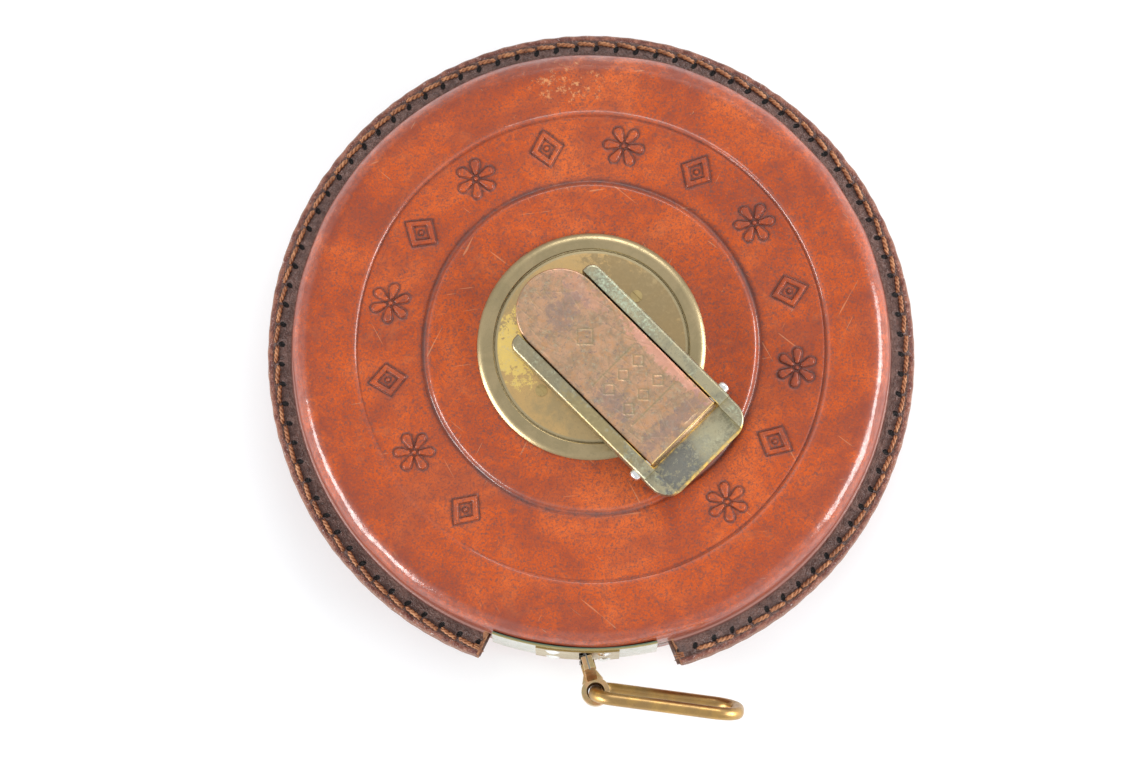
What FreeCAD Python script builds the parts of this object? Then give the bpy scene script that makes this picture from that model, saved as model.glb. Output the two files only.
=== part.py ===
import FreeCAD, Part
import math
import os

# A leather-cased surveyor's tape reel that lies on its back. Millimetres, +Z towards the crank.
# The origin is on the spindle axis in the plane of the back face. The tape leaves towards -Y.

# Case
FLANGE_R = 70.0
WALL_R = 64.3
LEATHER = 2.4
SEAM_Z = 14.75
WELT = 1.0
EDGE_R = 5.0
FLANGE_CORNER = 0.7
FRONT_Z = 29.5
TAPE_Z = 15.0
PLATEAU_RISE = 0.8
PLATEAU_R = 35.3
CREASE_R = 50.3
CREASE = 0.4
FLANGE_GAP_LEFT = 20.6
FLANGE_GAP_RIGHT = 15.8

# Seam
STITCH_R = 68.0
STITCH_PITCH = 4.4
STITCH_LENGTH = 3.7
THREAD_R = 0.55
STITCH_SLANT = 14.0

# Bezel and hub
BEZEL_R = 24.5
BEZEL_HOLE_R = 21.0
BEZEL_TOP = 31.4
BEZEL_FOOT = 26.7
COLLAR_WALL = 1.05
HUB_JOURNAL_R = 20.93
HUB_FLAT_R = 8.0
HUB_SHEET = 1.3
HUB_LEDGE_R = 23.4
HUB_LEDGE_TOP = 26.3
HUB_EDGE_Z = 30.7
HUB_SCREW_X = -0.8
HUB_SCREW_Y = 14.4
HUB_SCREW_R = 0.9
HUB_SCREW_HEAD_R = 1.3
HUB_SCREW_SEAT = 31.2
HUB_SCREW_TOP = 31.8

# Drum
DRUM_LOW = 5.6
DRUM_HIGH = 24.4
CHEEK = 1.0
CHEEK_R = 52.0
CORE_R = 18.0
TAPE_WIDTH = 16.0
TAPE_THICK = 0.3
COIL_R = 48.0
SPINDLE_R = 3.0
SPINDLE_LOW = 1.9
SPINDLE_HEAD_R = 4.2
RUN_FIT = 0.05
FLANGE_SCREW_CIRCLE_R = 9.0
FLANGE_SCREW_R = 1.0
FLANGE_SCREW_HEAD_R = 1.9
FLANGE_SCREW_LENGTH = 8.0
ANCHOR_X = -15.5
ANCHOR_R = 0.8

# Back boss
BOSS_R = 17.3
BOSS_THICK = 1.3
BOSS_TUBE_R = 9.1
BOSS_TUBE_TOP = 5.0
BOSS_RIVET_CIRCLE_R = 13.5
BOSS_RIVET_R = 1.2
WASHER_SHEET = 0.8
CLINCH_WIDTH = 6.95
CLINCH_SHEET = 0.9
THRUST_SHEET = 0.3

# Crank, in its own frame: X runs from the spindle towards the hinge pin
CRANK_TURN = -45.0
BASE_LOW = 31.7
BASE_FLOOR = 32.6
RAIL_TOP = 36.8
RAIL_INNER = 9.75
RAIL_OUTER = 12.85
RAIL_SHEET = 0.9
RAIL_CORNER_R = 2.2
RAIL_EDGE_R = 0.7
RAIL_START = -12.5
RAIL_END = 28.7
FLOOR_START = -4.0
BASE_END = 35.7
END_LIP = 0.5
END_LIP_TOP = 32.9
END_EDGE_R = 0.5
CHEEK_TOP = 35.0
BASE_CORNER_R = 4.5
PIN_X = 26.5
PIN_Z = 34.8
PIN_R = 1.0
PIN_HEAD_R = 1.35
PIN_HEAD_OUT = 1.35
PIN_HEAD_EDGE_R = 0.8
ARM_HALF = 9.45
ARM_TOP = 36.6
ARM_SHEET = 1.1
ARM_SKIRT = 2.6
ARM_WALL = 1.0
ARM_EDGE_R = 0.45
ARM_END = 27.6
ARM_ROUND_X = -9.5
KNOB_R = 5.0
KNOB_LOW = 28.3
KNOB_HIGH = 35.1
STUD_R = 1.5
KNOB_WELL_R = 6.2
BASE_RIVET_X = 5.2
BASE_RIVET_Y = 3.75
BASE_RIVET_R = 1.1
BASE_RIVET_FOOT_R = 1.55
BASE_RIVET_HEAD_R = 2.0
ARM_HOLE_X = 22.3
ARM_HOLE_Y = 3.5
ARM_HOLE_LENGTH = 1.8
ARM_HOLE_R = 0.5

# Mouth
MOUTH_X = -1.4
MOUTH_Y = -64.9
TAPE_LEAN = 16.0
PLATE_LEFT = 19.2
PLATE_RIGHT = 12.6
PLATE_LOW = 4.0
PLATE_HIGH = 26.0
PLATE_SHEET = 0.55
PLATE_GAP = 0.05
LIP_LEFT = 10.6
LIP_RIGHT = 5.3
LIP_SHEET = 0.4
LIP_MARGIN = 1.2
SLOT_WIDTH = 2.6
SLOT_HEIGHT = 17.0
FRAME_LOW = 5.1
FRAME_HIGH = 24.4
FRAME_SHEET = 1.0
FRAME_EAR = 0.8
RIVET_ANGLES = (-7.3, 2.3)
RIVET_LEVELS = (8.5, 21.5)
RIVET_R = 0.9
RIVET_HEAD_R = 1.6
RIVET_HEAD_OUT = 0.6
GUIDE_R = 1.2
GUIDE_BACK = 6.0
GUIDE_OFFSET = 1.75

# Tape end and finger loop
LEAD_INSIDE = 15.0
LEAD_EDGE_GAP = 0.4
TAB_LENGTH = 2.4
TAB_LOW = 12.0
TAB_HIGH = 20.0
TAB_TURN = -42.0
CLIP_START = 0.9
CLIP_SHEET = 1.0
CLIP_TALL = 14.8
CLIP_RIVET_X = 2.8
CLIP_RIVET_Z = 3.6
CLIP_RIVET_R = 0.7
CLIP_RIVET_HEAD_R = 1.1
EYE_AT = 8.4
EYE_R = 3.05
EYE_WAIST_R = 1.56
EYE_MOUTH_R = 1.98
EYE_TALL = 3.6
STRAIGHT_PART = 2.8
EYE_NECK = 2.4
FLARE_LENGTH = 2.6
FLARE_HALF = 2.3
WIRE_R = 1.4
LOOP_LENGTH = 30.8
LOOP_TALL = 14.0
LOOP_NEAR_BEND = 4.0
LOOP_FAR_BEND = 5.0
LOOP_TURN = -7.6
LOOP_LEAN = 13.0

Z_AXIS = FreeCAD.Vector(0, 0, 1)
Y_AXIS = FreeCAD.Vector(0, 1, 0)
ORIGIN = FreeCAD.Vector(0, 0, 0)
BEYOND = 200.0


def vec(x, y, z=0.0):
    return FreeCAD.Vector(x, y, z)


def turned(start, *steps):
    """A solid of revolution about Z. Each step is the next (r, z), or two such points for an arc."""
    edges = []
    here = vec(start[0], 0, start[1])
    for step in steps + (start,):
        points = [vec(step[i], 0, step[i + 1]) for i in range(0, len(step), 2)]
        if len(points) == 2:
            edges.append(Part.Arc(here, points[0], points[1]).toShape())
        else:
            edges.append(Part.LineSegment(here, points[0]).toShape())
        here = points[-1]
    return Part.Face(Part.Wire(edges)).revolve(ORIGIN, Z_AXIS, 360)


def tube(outer, inner, low, high):
    ring = Part.makeCylinder(outer, high - low, vec(0, 0, low))
    return ring.cut(Part.makeCylinder(inner, high - low, vec(0, 0, low)))


def rod(radius, start, end):
    return Part.makeCylinder(radius, (end - start).Length, start, end - start)


def upright(radius, foot):
    """A long cylinder straight up from its foot, to drill with."""
    return Part.makeCylinder(radius, BEYOND, foot)


def slab(x0, x1, y0, y1, z0, z1):
    return Part.makeBox(x1 - x0, y1 - y0, z1 - z0, vec(x0, y0, z0))


def merge(shapes):
    """One solid out of touching ones."""
    whole = shapes[0].multiFuse(shapes[1:]).removeSplitter()
    return whole.Solids[0] if len(whole.Solids) == 1 else whole


def placed(shape, turn, move=ORIGIN):
    copy = shape.copy()
    copy.rotate(ORIGIN, Z_AXIS, turn)
    copy.translate(move)
    return copy


def sector(inner, outer, low, high, left, right):
    """A ring piece between two angles, counted in degrees to either side of -Y."""
    base = vec(inner, 0, low)
    face = Part.Face(
        Part.makePolygon(
            [base, vec(outer, 0, low), vec(outer, 0, high), vec(inner, 0, high), base]
        )
    )
    face.rotate(ORIGIN, Z_AXIS, -90 - left)
    return face.revolve(ORIGIN, Z_AXIS, left + right)


def along_tape(shape):
    """Puts a shape made along X at the mouth, on the line that the tape leaves by."""
    return placed(shape, TAPE_LEAN - 90, vec(MOUTH_X, MOUTH_Y))


def on_crank(shape):
    return placed(shape, CRANK_TURN)


# Shapes that several pieces are cut with


def mouth_window():
    half = SLOT_WIDTH / 2 + 1.2
    tall = SLOT_HEIGHT / 2 + 0.8
    return along_tape(slab(-7, 7, -half, half, TAPE_Z - tall, TAPE_Z + tall))


def tape_slot():
    half = SLOT_WIDTH / 2
    tall = SLOT_HEIGHT / 2
    return along_tape(slab(-9, 7, -half, half, TAPE_Z - tall, TAPE_Z + tall))


def flange_gap():
    return sector(
        WALL_R, FLANGE_R + 2, SEAM_Z - 5, SEAM_Z + 5, FLANGE_GAP_LEFT, FLANGE_GAP_RIGHT
    )


def at_mouth_rivets(make):
    """One copy of a shape made along +X for each rivet, which points straight out of the rim."""
    return [
        placed(make(), angle - 90, vec(0, 0, level))
        for angle in RIVET_ANGLES
        for level in RIVET_LEVELS
    ]


def mouth_rivet_holes():
    return at_mouth_rivets(lambda: rod(RIVET_R, vec(55, 0), vec(70, 0)))


def cut_all(shape, tools):
    return shape.cut(Part.makeCompound(tools))


# Leather case


def half_shell(face_profile):
    """The wall and flange that both halves share, closed by a half's own face profile."""
    inner = WALL_R - LEATHER
    seam = SEAM_Z + WELT / 2
    top = FRONT_Z
    bend = EDGE_R * math.sqrt(0.5)
    inner_bend = (EDGE_R - LEATHER) * math.sqrt(0.5)
    centre_r = WALL_R - EDGE_R
    centre_z = top - EDGE_R
    return turned(
        (inner, seam),
        (FLANGE_R - 0.4, seam),
        (FLANGE_R, seam + 0.4),
        (FLANGE_R, seam + LEATHER - FLANGE_CORNER),
        (FLANGE_R - FLANGE_CORNER, seam + LEATHER),
        (WALL_R + FLANGE_CORNER, seam + LEATHER),
        (WALL_R, seam + LEATHER + FLANGE_CORNER),
        (WALL_R, centre_z),
        (centre_r + bend, centre_z + bend, centre_r, top),
        *face_profile,
        (centre_r, top - LEATHER),
        (centre_r + inner_bend, centre_z + inner_bend, inner, centre_z),
    )


def front_shell():
    top = FRONT_Z
    high = top + PLATEAU_RISE
    hole = BEZEL_HOLE_R + COLLAR_WALL + 0.05
    shell = half_shell(
        [
            (CREASE_R + CREASE, top),
            (CREASE_R, top - CREASE),
            (CREASE_R - CREASE, top),
            (PLATEAU_R + 1.0, top),
            (PLATEAU_R, high),
            (hole, high),
            (hole, high - LEATHER),
            (PLATEAU_R - 1.2, high - LEATHER),
            (PLATEAU_R - 0.2, top - LEATHER),
        ]
    )
    return cut_all(shell, [flange_gap(), mouth_window()] + mouth_rivet_holes())


def back_shell():
    top = FRONT_Z
    sunk = top - BOSS_THICK
    shell = half_shell(
        [
            (BOSS_R + 0.1, top),
            (BOSS_R + 0.1, sunk),
            (BOSS_TUBE_R + 0.1, sunk),
            (BOSS_TUBE_R + 0.1, sunk - LEATHER),
            (BOSS_R + 1.3, sunk - LEATHER),
            (BOSS_R + 2.5, top - LEATHER),
        ]
    )
    shell = shell.mirror(vec(0, 0, SEAM_Z), Z_AXIS)
    return cut_all(
        shell, [flange_gap(), mouth_window()] + mouth_rivet_holes() + boss_rivet_shanks()
    )


def seam_welt():
    low = SEAM_Z - WELT / 2
    ring = tube(FLANGE_R - 0.3, WALL_R - LEATHER, low, low + WELT)
    return cut_all(ring, [flange_gap(), mouth_window()])


def stitch():
    """One short thread on top of the leather, along Y, with its underside cut flat."""
    half = STITCH_LENGTH / 2 - THREAD_R
    lift = vec(0, 0, 0.1)
    thread = merge(
        [
            rod(THREAD_R, vec(0, -half) + lift, vec(0, half) + lift),
            Part.makeSphere(THREAD_R, vec(0, -half) + lift),
            Part.makeSphere(THREAD_R, vec(0, half) + lift),
        ]
    )
    return thread.common(slab(-2, 2, -3, 3, 0, 2))


def stitches(front):
    sewn = 360 - FLANGE_GAP_LEFT - FLANGE_GAP_RIGHT
    count = int(math.radians(sewn) * STITCH_R / STITCH_PITCH)
    step = sewn / count
    level = WELT / 2 + LEATHER
    one = stitch()
    one.rotate(ORIGIN, Z_AXIS, STITCH_SLANT)
    one.translate(vec(STITCH_R, 0, level))
    if not front:
        one = one.mirror(ORIGIN, Z_AXIS)
    first = FLANGE_GAP_RIGHT - 90 + step / 2
    lift = vec(0, 0, SEAM_Z)
    return Part.makeCompound([placed(one, first + i * step, lift) for i in range(count)])


# Bezel, boss and what holds them


def bezel():
    foot = FRONT_Z + PLATEAU_RISE
    collar = BEZEL_HOLE_R + COLLAR_WALL
    return turned(
        (BEZEL_HOLE_R, BEZEL_FOOT),
        (collar, BEZEL_FOOT),
        (collar, foot),
        (BEZEL_R, foot),
        (BEZEL_R, foot + 0.3),
        (BEZEL_R - 0.7, foot + 0.87, BEZEL_R - 2.0, BEZEL_TOP),
        (BEZEL_HOLE_R + 0.25, BEZEL_TOP),
        (BEZEL_HOLE_R + 0.07, BEZEL_TOP - 0.07, BEZEL_HOLE_R, BEZEL_TOP - 0.25),
    )


def bezel_clinch_ring():
    ceiling = FRONT_Z + PLATEAU_RISE - LEATHER
    inner = BEZEL_HOLE_R + COLLAR_WALL
    return tube(inner + CLINCH_WIDTH, inner, ceiling - CLINCH_SHEET, ceiling)


def boss_rivet_shanks():
    return [
        placed(Part.makeCylinder(BOSS_RIVET_R, 9, vec(BOSS_RIVET_CIRCLE_R, 0, -2)), 30 + 120 * i)
        for i in range(3)
    ]


def back_boss():
    bore = SPINDLE_R + RUN_FIT
    blind = BOSS_THICK + 0.3
    boss = turned(
        (0, 0),
        (BOSS_R - 0.4, 0),
        (BOSS_R, 0.4),
        (BOSS_R, BOSS_THICK),
        (BOSS_TUBE_R, BOSS_THICK),
        (BOSS_TUBE_R, BOSS_TUBE_TOP),
        (bore, BOSS_TUBE_TOP),
        (bore, blind),
        (0, blind),
    )
    return cut_all(boss, boss_rivet_shanks())


def back_boss_washer():
    low = BOSS_THICK + LEATHER
    return cut_all(tube(BOSS_R - 0.3, BOSS_TUBE_R, low, low + WASHER_SHEET), boss_rivet_shanks())


def back_boss_rivets():
    head_low = BOSS_THICK + LEATHER + WASHER_SHEET
    one = turned(
        (0, 0.2),
        (BOSS_RIVET_R, 0.2),
        (BOSS_RIVET_R, head_low),
        (2.0, head_low),
        (1.7, head_low + 0.4, 1.0, head_low + 0.6),
        (0, head_low + 0.6),
    )
    one.translate(vec(BOSS_RIVET_CIRCLE_R, 0))
    return Part.makeCompound([placed(one, 30 + 120 * i) for i in range(3)])


def thrust_washer():
    return tube(BOSS_TUBE_R - 0.6, SPINDLE_R + 0.3, BOSS_TUBE_TOP, BOSS_TUBE_TOP + THRUST_SHEET)


# Mouth


def mouth_plate():
    inner = WALL_R + PLATE_GAP
    plate = sector(inner, inner + PLATE_SHEET, PLATE_LOW, PLATE_HIGH, PLATE_LEFT, PLATE_RIGHT)
    return cut_all(plate, [tape_slot()] + mouth_rivet_holes())


def mouth_lip():
    inner = WALL_R + PLATE_GAP + PLATE_SHEET
    lip = sector(
        inner, inner + LIP_SHEET, PLATE_LOW + LIP_MARGIN, PLATE_HIGH - LIP_MARGIN, LIP_LEFT, LIP_RIGHT
    )
    return cut_all(lip, [tape_slot()] + mouth_rivet_holes())


def mouth_frame():
    outer = WALL_R - LEATHER - 0.05
    web = sector(outer - FRAME_SHEET, outer, FRAME_LOW, FRAME_HIGH, LIP_LEFT, LIP_RIGHT)
    inside = Part.makeCylinder(outer, BEYOND)
    ears = [
        along_tape(slab(-GUIDE_BACK - 2.6, 0, -4.6, 4.6, level, level + FRAME_EAR)).common(inside)
        for level in (FRAME_LOW, FRAME_HIGH - FRAME_EAR)
    ]
    return cut_all(merge([web] + ears), [tape_slot(), guide_pins()] + mouth_rivet_holes())


def guide_pins():
    foot = vec(-GUIDE_BACK, GUIDE_OFFSET, FRAME_LOW)
    pin = Part.makeCylinder(GUIDE_R, FRAME_HIGH - FRAME_LOW, foot)
    return Part.makeCompound([along_tape(pin), along_tape(pin.mirror(ORIGIN, Y_AXIS))])


def mouth_rivets():
    inside = WALL_R - LEATHER - FRAME_SHEET - 0.08
    outside = WALL_R + PLATE_GAP + PLATE_SHEET + LIP_SHEET
    dome_r = (RIVET_HEAD_R**2 + RIVET_HEAD_OUT**2) / (2 * RIVET_HEAD_OUT)

    def one():
        dome = Part.makeSphere(dome_r, vec(outside + RIVET_HEAD_OUT - dome_r, 0))
        head = dome.common(rod(RIVET_HEAD_R, vec(outside, 0), vec(outside + 3, 0)))
        foot = rod(RIVET_HEAD_R, vec(inside - 0.5, 0), vec(inside, 0))
        return merge([rod(RIVET_R, vec(inside - 0.1, 0), vec(outside + 0.1, 0)), head, foot])

    return Part.makeCompound(at_mouth_rivets(one))


# Drum


def hub_screw_places():
    return [vec(HUB_SCREW_X, side * HUB_SCREW_Y) for side in (-1, 1)]


def hub_disc():
    disc = turned(
        (SPINDLE_R, BASE_LOW),
        (HUB_FLAT_R, BASE_LOW),
        (15.0, BASE_LOW - 0.28, HUB_JOURNAL_R - 0.5, HUB_EDGE_Z + 0.2),
        (HUB_JOURNAL_R - 0.1, HUB_EDGE_Z, HUB_JOURNAL_R, HUB_EDGE_Z - 0.3),
        (HUB_JOURNAL_R, HUB_LEDGE_TOP),
        (HUB_LEDGE_R, HUB_LEDGE_TOP),
        (HUB_LEDGE_R, DRUM_HIGH),
        (HUB_JOURNAL_R - 1.6, DRUM_HIGH),
        (HUB_JOURNAL_R - 1.6, 28.6),
        (HUB_FLAT_R, BASE_LOW - HUB_SHEET),
        (SPINDLE_R, BASE_LOW - HUB_SHEET),
    )
    tools = [upright(KNOB_WELL_R, vec(ARM_ROUND_X, 0))]
    tools += [upright(HUB_SCREW_R, p) for p in hub_screw_places()]
    tools += [upright(HUB_SCREW_HEAD_R, p + vec(0, 0, HUB_SCREW_SEAT)) for p in hub_screw_places()]
    tools += [upright(BASE_RIVET_R, p) for p in base_rivet_places()]
    return on_crank(cut_all(disc, tools))


def hub_screws():
    """Two slotted fixings that draw the hub disc down on the drum's front cheek."""
    screws = []
    for place in hub_screw_places():
        seat = place + vec(0, 0, HUB_SCREW_SEAT)
        shank = rod(HUB_SCREW_R, place + vec(0, 0, DRUM_HIGH), seat)
        head = Part.makeCylinder(HUB_SCREW_HEAD_R, HUB_SCREW_TOP - HUB_SCREW_SEAT, seat)
        slot = slab(-2, 2, -0.18, 0.18, HUB_SCREW_TOP - 0.25, HUB_SCREW_TOP + 1)
        slot.translate(place)
        screws.append(on_crank(merge([shank, head]).cut(slot)))
    return Part.makeCompound(screws)


def spindle():
    return turned(
        (0, SPINDLE_LOW),
        (SPINDLE_R - 0.3, SPINDLE_LOW),
        (SPINDLE_R, SPINDLE_LOW + 0.3),
        (SPINDLE_R, BASE_FLOOR),
        (SPINDLE_HEAD_R, BASE_FLOOR),
        (SPINDLE_HEAD_R - 0.6, BASE_FLOOR + 0.55, SPINDLE_HEAD_R - 1.8, BASE_FLOOR + 0.8),
        (0, BASE_FLOOR + 0.8),
    )


def drum_cheek(low):
    return tube(CHEEK_R, SPINDLE_R, low, low + CHEEK)


def flange_screw_feet():
    first = vec(FLANGE_SCREW_CIRCLE_R, 0, DRUM_HIGH - FLANGE_SCREW_LENGTH)
    return [placed(Part.Vertex(first), 120 * i).Point for i in range(3)]


def flange_screw_holes():
    return [upright(FLANGE_SCREW_R, foot) for foot in flange_screw_feet()]


def front_flange():
    return cut_all(drum_cheek(DRUM_HIGH - CHEEK), flange_screw_holes())


def back_flange():
    return drum_cheek(DRUM_LOW)


def flange_screws():
    screws = []
    for foot in flange_screw_feet():
        seat = foot + vec(0, 0, FLANGE_SCREW_LENGTH)
        head = Part.makeCylinder(FLANGE_SCREW_HEAD_R, 0.8, seat)
        slot = slab(-3, 3, -0.25, 0.25, 0.4, 2)
        slot.translate(seat)
        screws.append(merge([rod(FLANGE_SCREW_R, foot, seat), head]).cut(slot))
    return Part.makeCompound(screws)


def tape_anchor():
    return rod(ANCHOR_R, vec(ANCHOR_X, 0, DRUM_LOW + CHEEK), vec(ANCHOR_X, 0, DRUM_HIGH - CHEEK))


def drum_core():
    core = tube(CORE_R, SPINDLE_R, DRUM_LOW + CHEEK, DRUM_HIGH - CHEEK)
    return cut_all(core, [tape_anchor()] + flange_screw_holes())


def tape_coil():
    low = TAPE_Z - TAPE_WIDTH / 2
    return tube(COIL_R, CORE_R, low, low + TAPE_WIDTH)


# Crank


def base_rivet_places():
    return [vec(BASE_RIVET_X, side * BASE_RIVET_Y) for side in (-1, 1)]


def base_rivets():
    rivets = []
    foot = BASE_LOW - HUB_SHEET
    head = BASE_RIVET_HEAD_R
    for place in base_rivet_places():
        one = turned(
            (0, foot - 0.5),
            (BASE_RIVET_FOOT_R, foot - 0.5),
            (BASE_RIVET_FOOT_R, foot),
            (BASE_RIVET_R, foot),
            (BASE_RIVET_R, BASE_FLOOR),
            (head, BASE_FLOOR),
            (head - 0.3, BASE_FLOOR + 0.45, head - 1.0, BASE_FLOOR + 0.65),
            (0, BASE_FLOOR + 0.65),
        )
        one.translate(place)
        rivets.append(on_crank(one))
    return Part.makeCompound(rivets)


def rounded(shape, radius, wanted):
    edges = [e for e in shape.Edges if wanted(e)]
    return shape.makeFillet(radius, edges)


def is_upright(edge):
    low, high = edge.BoundBox.ZMin, edge.BoundBox.ZMax
    return high - low > 0.5 and edge.BoundBox.XLength < 0.01 and edge.BoundBox.YLength < 0.01


def rail():
    """The rail on the +Y side: a folded bar, hollow from below."""
    bar = slab(RAIL_START, RAIL_END, RAIL_INNER, RAIL_OUTER, BASE_LOW, RAIL_TOP)
    bar = rounded(
        bar,
        RAIL_CORNER_R,
        lambda e: is_upright(e)
        and e.BoundBox.XMax < RAIL_START + 1
        and e.BoundBox.YMax > RAIL_OUTER - 0.1,
    )
    bar = rounded(
        bar,
        RAIL_EDGE_R,
        lambda e: e.BoundBox.ZMin > RAIL_TOP - 0.01
        and e.BoundBox.YMax > RAIL_INNER + 0.1
        and e.BoundBox.XMin < RAIL_END - 0.1,
    )
    hollow = slab(
        RAIL_START + 2.6,
        RAIL_END - 5,
        RAIL_INNER + RAIL_SHEET,
        RAIL_OUTER - RAIL_SHEET,
        BASE_LOW - 1,
        RAIL_TOP - RAIL_SHEET,
    )
    return bar.cut(hollow)


def end_piece():
    """The low open end that the arm lies in when it is unfolded."""
    block = slab(RAIL_END, BASE_END, -RAIL_OUTER, RAIL_OUTER, BASE_LOW, CHEEK_TOP)
    block = rounded(block, BASE_CORNER_R, lambda e: is_upright(e) and e.BoundBox.XMin > BASE_END - 0.1)
    block = rounded(
        block,
        END_EDGE_R,
        lambda e: e.BoundBox.ZMin > CHEEK_TOP - 0.01 and e.BoundBox.XMax > RAIL_END + 0.1,
    )
    sides = (-RAIL_INNER, RAIL_INNER)
    channel = slab(RAIL_END - 1, BASE_END - END_LIP, *sides, BASE_FLOOR, RAIL_TOP)
    opening = slab(RAIL_END - 1, BASE_END + 1, *sides, END_LIP_TOP, RAIL_TOP)
    return block.cut(channel).cut(opening)


def crank_base():
    floor = slab(FLOOR_START, RAIL_END, -RAIL_INNER - 0.5, RAIL_INNER + 0.5, BASE_LOW, BASE_FLOOR)
    right = rail()
    left = right.mirror(ORIGIN, Y_AXIS)
    base = merge([floor, right, left, end_piece()])
    tools = [rod(PIN_R, vec(PIN_X, -20, PIN_Z), vec(PIN_X, 20, PIN_Z))]
    tools.append(upright(SPINDLE_R, ORIGIN))
    tools += [upright(BASE_RIVET_R, p) for p in base_rivet_places()]
    return on_crank(cut_all(base, tools))


def hinge_pin():
    pin = rod(PIN_R, vec(PIN_X, -RAIL_OUTER, PIN_Z), vec(PIN_X, RAIL_OUTER, PIN_Z))
    heads = []
    for side in (-1, 1):
        foot = vec(PIN_X, side * RAIL_OUTER, PIN_Z)
        tip = vec(PIN_X, side * (RAIL_OUTER + PIN_HEAD_OUT), PIN_Z)
        head = rod(PIN_HEAD_R, foot, tip)
        heads.append(
            rounded(
                head,
                PIN_HEAD_EDGE_R,
                lambda e: abs(e.BoundBox.Center.y - tip.y) < 0.05 and e.Closed,
            )
        )
    return on_crank(merge([pin] + heads))


def arm_outline(half, tail):
    """A bar with one round end, as a face in its own plane."""
    corner = vec(tail, half)
    bend = vec(ARM_ROUND_X, half)
    nose = vec(ARM_ROUND_X - half, 0)
    edges = [
        Part.LineSegment(corner, bend).toShape(),
        Part.Arc(bend, nose, vec(ARM_ROUND_X, -half)).toShape(),
        Part.LineSegment(vec(ARM_ROUND_X, -half), vec(tail, -half)).toShape(),
        Part.LineSegment(vec(tail, -half), corner).toShape(),
    ]
    return Part.Face(Part.Wire(edges))


def crank_arm():
    low = ARM_TOP - ARM_SKIRT
    plate = arm_outline(ARM_HALF, PIN_X)
    plate.translate(vec(0, 0, low))
    plate = plate.extrude(vec(0, 0, ARM_SKIRT))
    plate = rounded(
        plate,
        ARM_EDGE_R,
        lambda e: e.BoundBox.ZMin > ARM_TOP - 0.01 and e.BoundBox.XMin < PIN_X - 1,
    )
    lip = slab(PIN_X, ARM_END, -ARM_HALF + 0.4, ARM_HALF - 0.4, PIN_Z, ARM_TOP)
    inside = arm_outline(ARM_HALF - ARM_WALL, PIN_X - 3)
    inside.translate(vec(0, 0, low - 1))
    plate = plate.cut(inside.extrude(vec(0, 0, ARM_SKIRT + 1 - ARM_SHEET)))
    barrel = rod(ARM_TOP - PIN_Z, vec(PIN_X, -ARM_HALF, PIN_Z), vec(PIN_X, ARM_HALF, PIN_Z))
    arm = merge([plate, barrel, lip])
    pin_hole = rod(PIN_R + RUN_FIT, vec(PIN_X, -20, PIN_Z), vec(PIN_X, 20, PIN_Z))
    reach = ARM_HOLE_LENGTH / 2 - ARM_HOLE_R
    oval = merge(
        [
            slab(-reach, reach, -ARM_HOLE_R, ARM_HOLE_R, 0, BEYOND),
            upright(ARM_HOLE_R, vec(-reach, 0)),
            upright(ARM_HOLE_R, vec(reach, 0)),
        ]
    )
    oval.translate(vec(ARM_HOLE_X, ARM_HOLE_Y))
    return on_crank(cut_all(arm, [pin_hole, oval]))


def at_knob(shape):
    shape.translate(vec(ARM_ROUND_X, 0))
    return on_crank(shape)


def knob_stud():
    top = ARM_TOP - ARM_SHEET
    return at_knob(
        turned(
            (0, KNOB_LOW + 0.1),
            (2.3, KNOB_LOW + 0.1),
            (2.6, KNOB_LOW + 0.4),
            (2.6, KNOB_LOW + 0.8),
            (STUD_R, KNOB_LOW + 0.8),
            (STUD_R, KNOB_HIGH + 0.1),
            (2.4, KNOB_HIGH + 0.1),
            (2.4, top),
            (0, top),
        )
    )


def finger_knob():
    bore = STUD_R + RUN_FIT
    return at_knob(
        turned(
            (bore, KNOB_HIGH - 0.2),
            (4.0, KNOB_HIGH - 0.2),
            (4.4, KNOB_HIGH - 0.6),
            (3.7, 33.0, 4.4, 30.8),
            (KNOB_R, 30.2, 4.7, 29.2),
            (4.3, KNOB_LOW),
            (2.9, KNOB_LOW),
            (2.9, KNOB_LOW + 1.1),
            (bore, KNOB_LOW + 1.1),
        )
    )


# Tape end


def tape_lead():
    half = TAPE_THICK / 2
    low = TAPE_Z - TAPE_WIDTH / 2 + LEAD_EDGE_GAP
    high = TAPE_Z + TAPE_WIDTH / 2 - LEAD_EDGE_GAP
    strip = slab(-LEAD_INSIDE, CLIP_START + 3, -half, half, low, high)
    tab = slab(0, TAB_LENGTH, -half, half, TAB_LOW, TAB_HIGH)
    tab.rotate(ORIGIN, Z_AXIS, TAB_TURN)
    tab.translate(vec(CLIP_START - 1, 0))
    return along_tape(cut_all(merge([strip, tab]), clip_rivet_shanks()))


def clip_rivet_shanks():
    half = TAPE_THICK / 2 + CLIP_SHEET
    levels = (TAPE_Z - CLIP_RIVET_Z, TAPE_Z + CLIP_RIVET_Z)
    return [rod(CLIP_RIVET_R, vec(CLIP_RIVET_X, -half, z), vec(CLIP_RIVET_X, half, z)) for z in levels]


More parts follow.
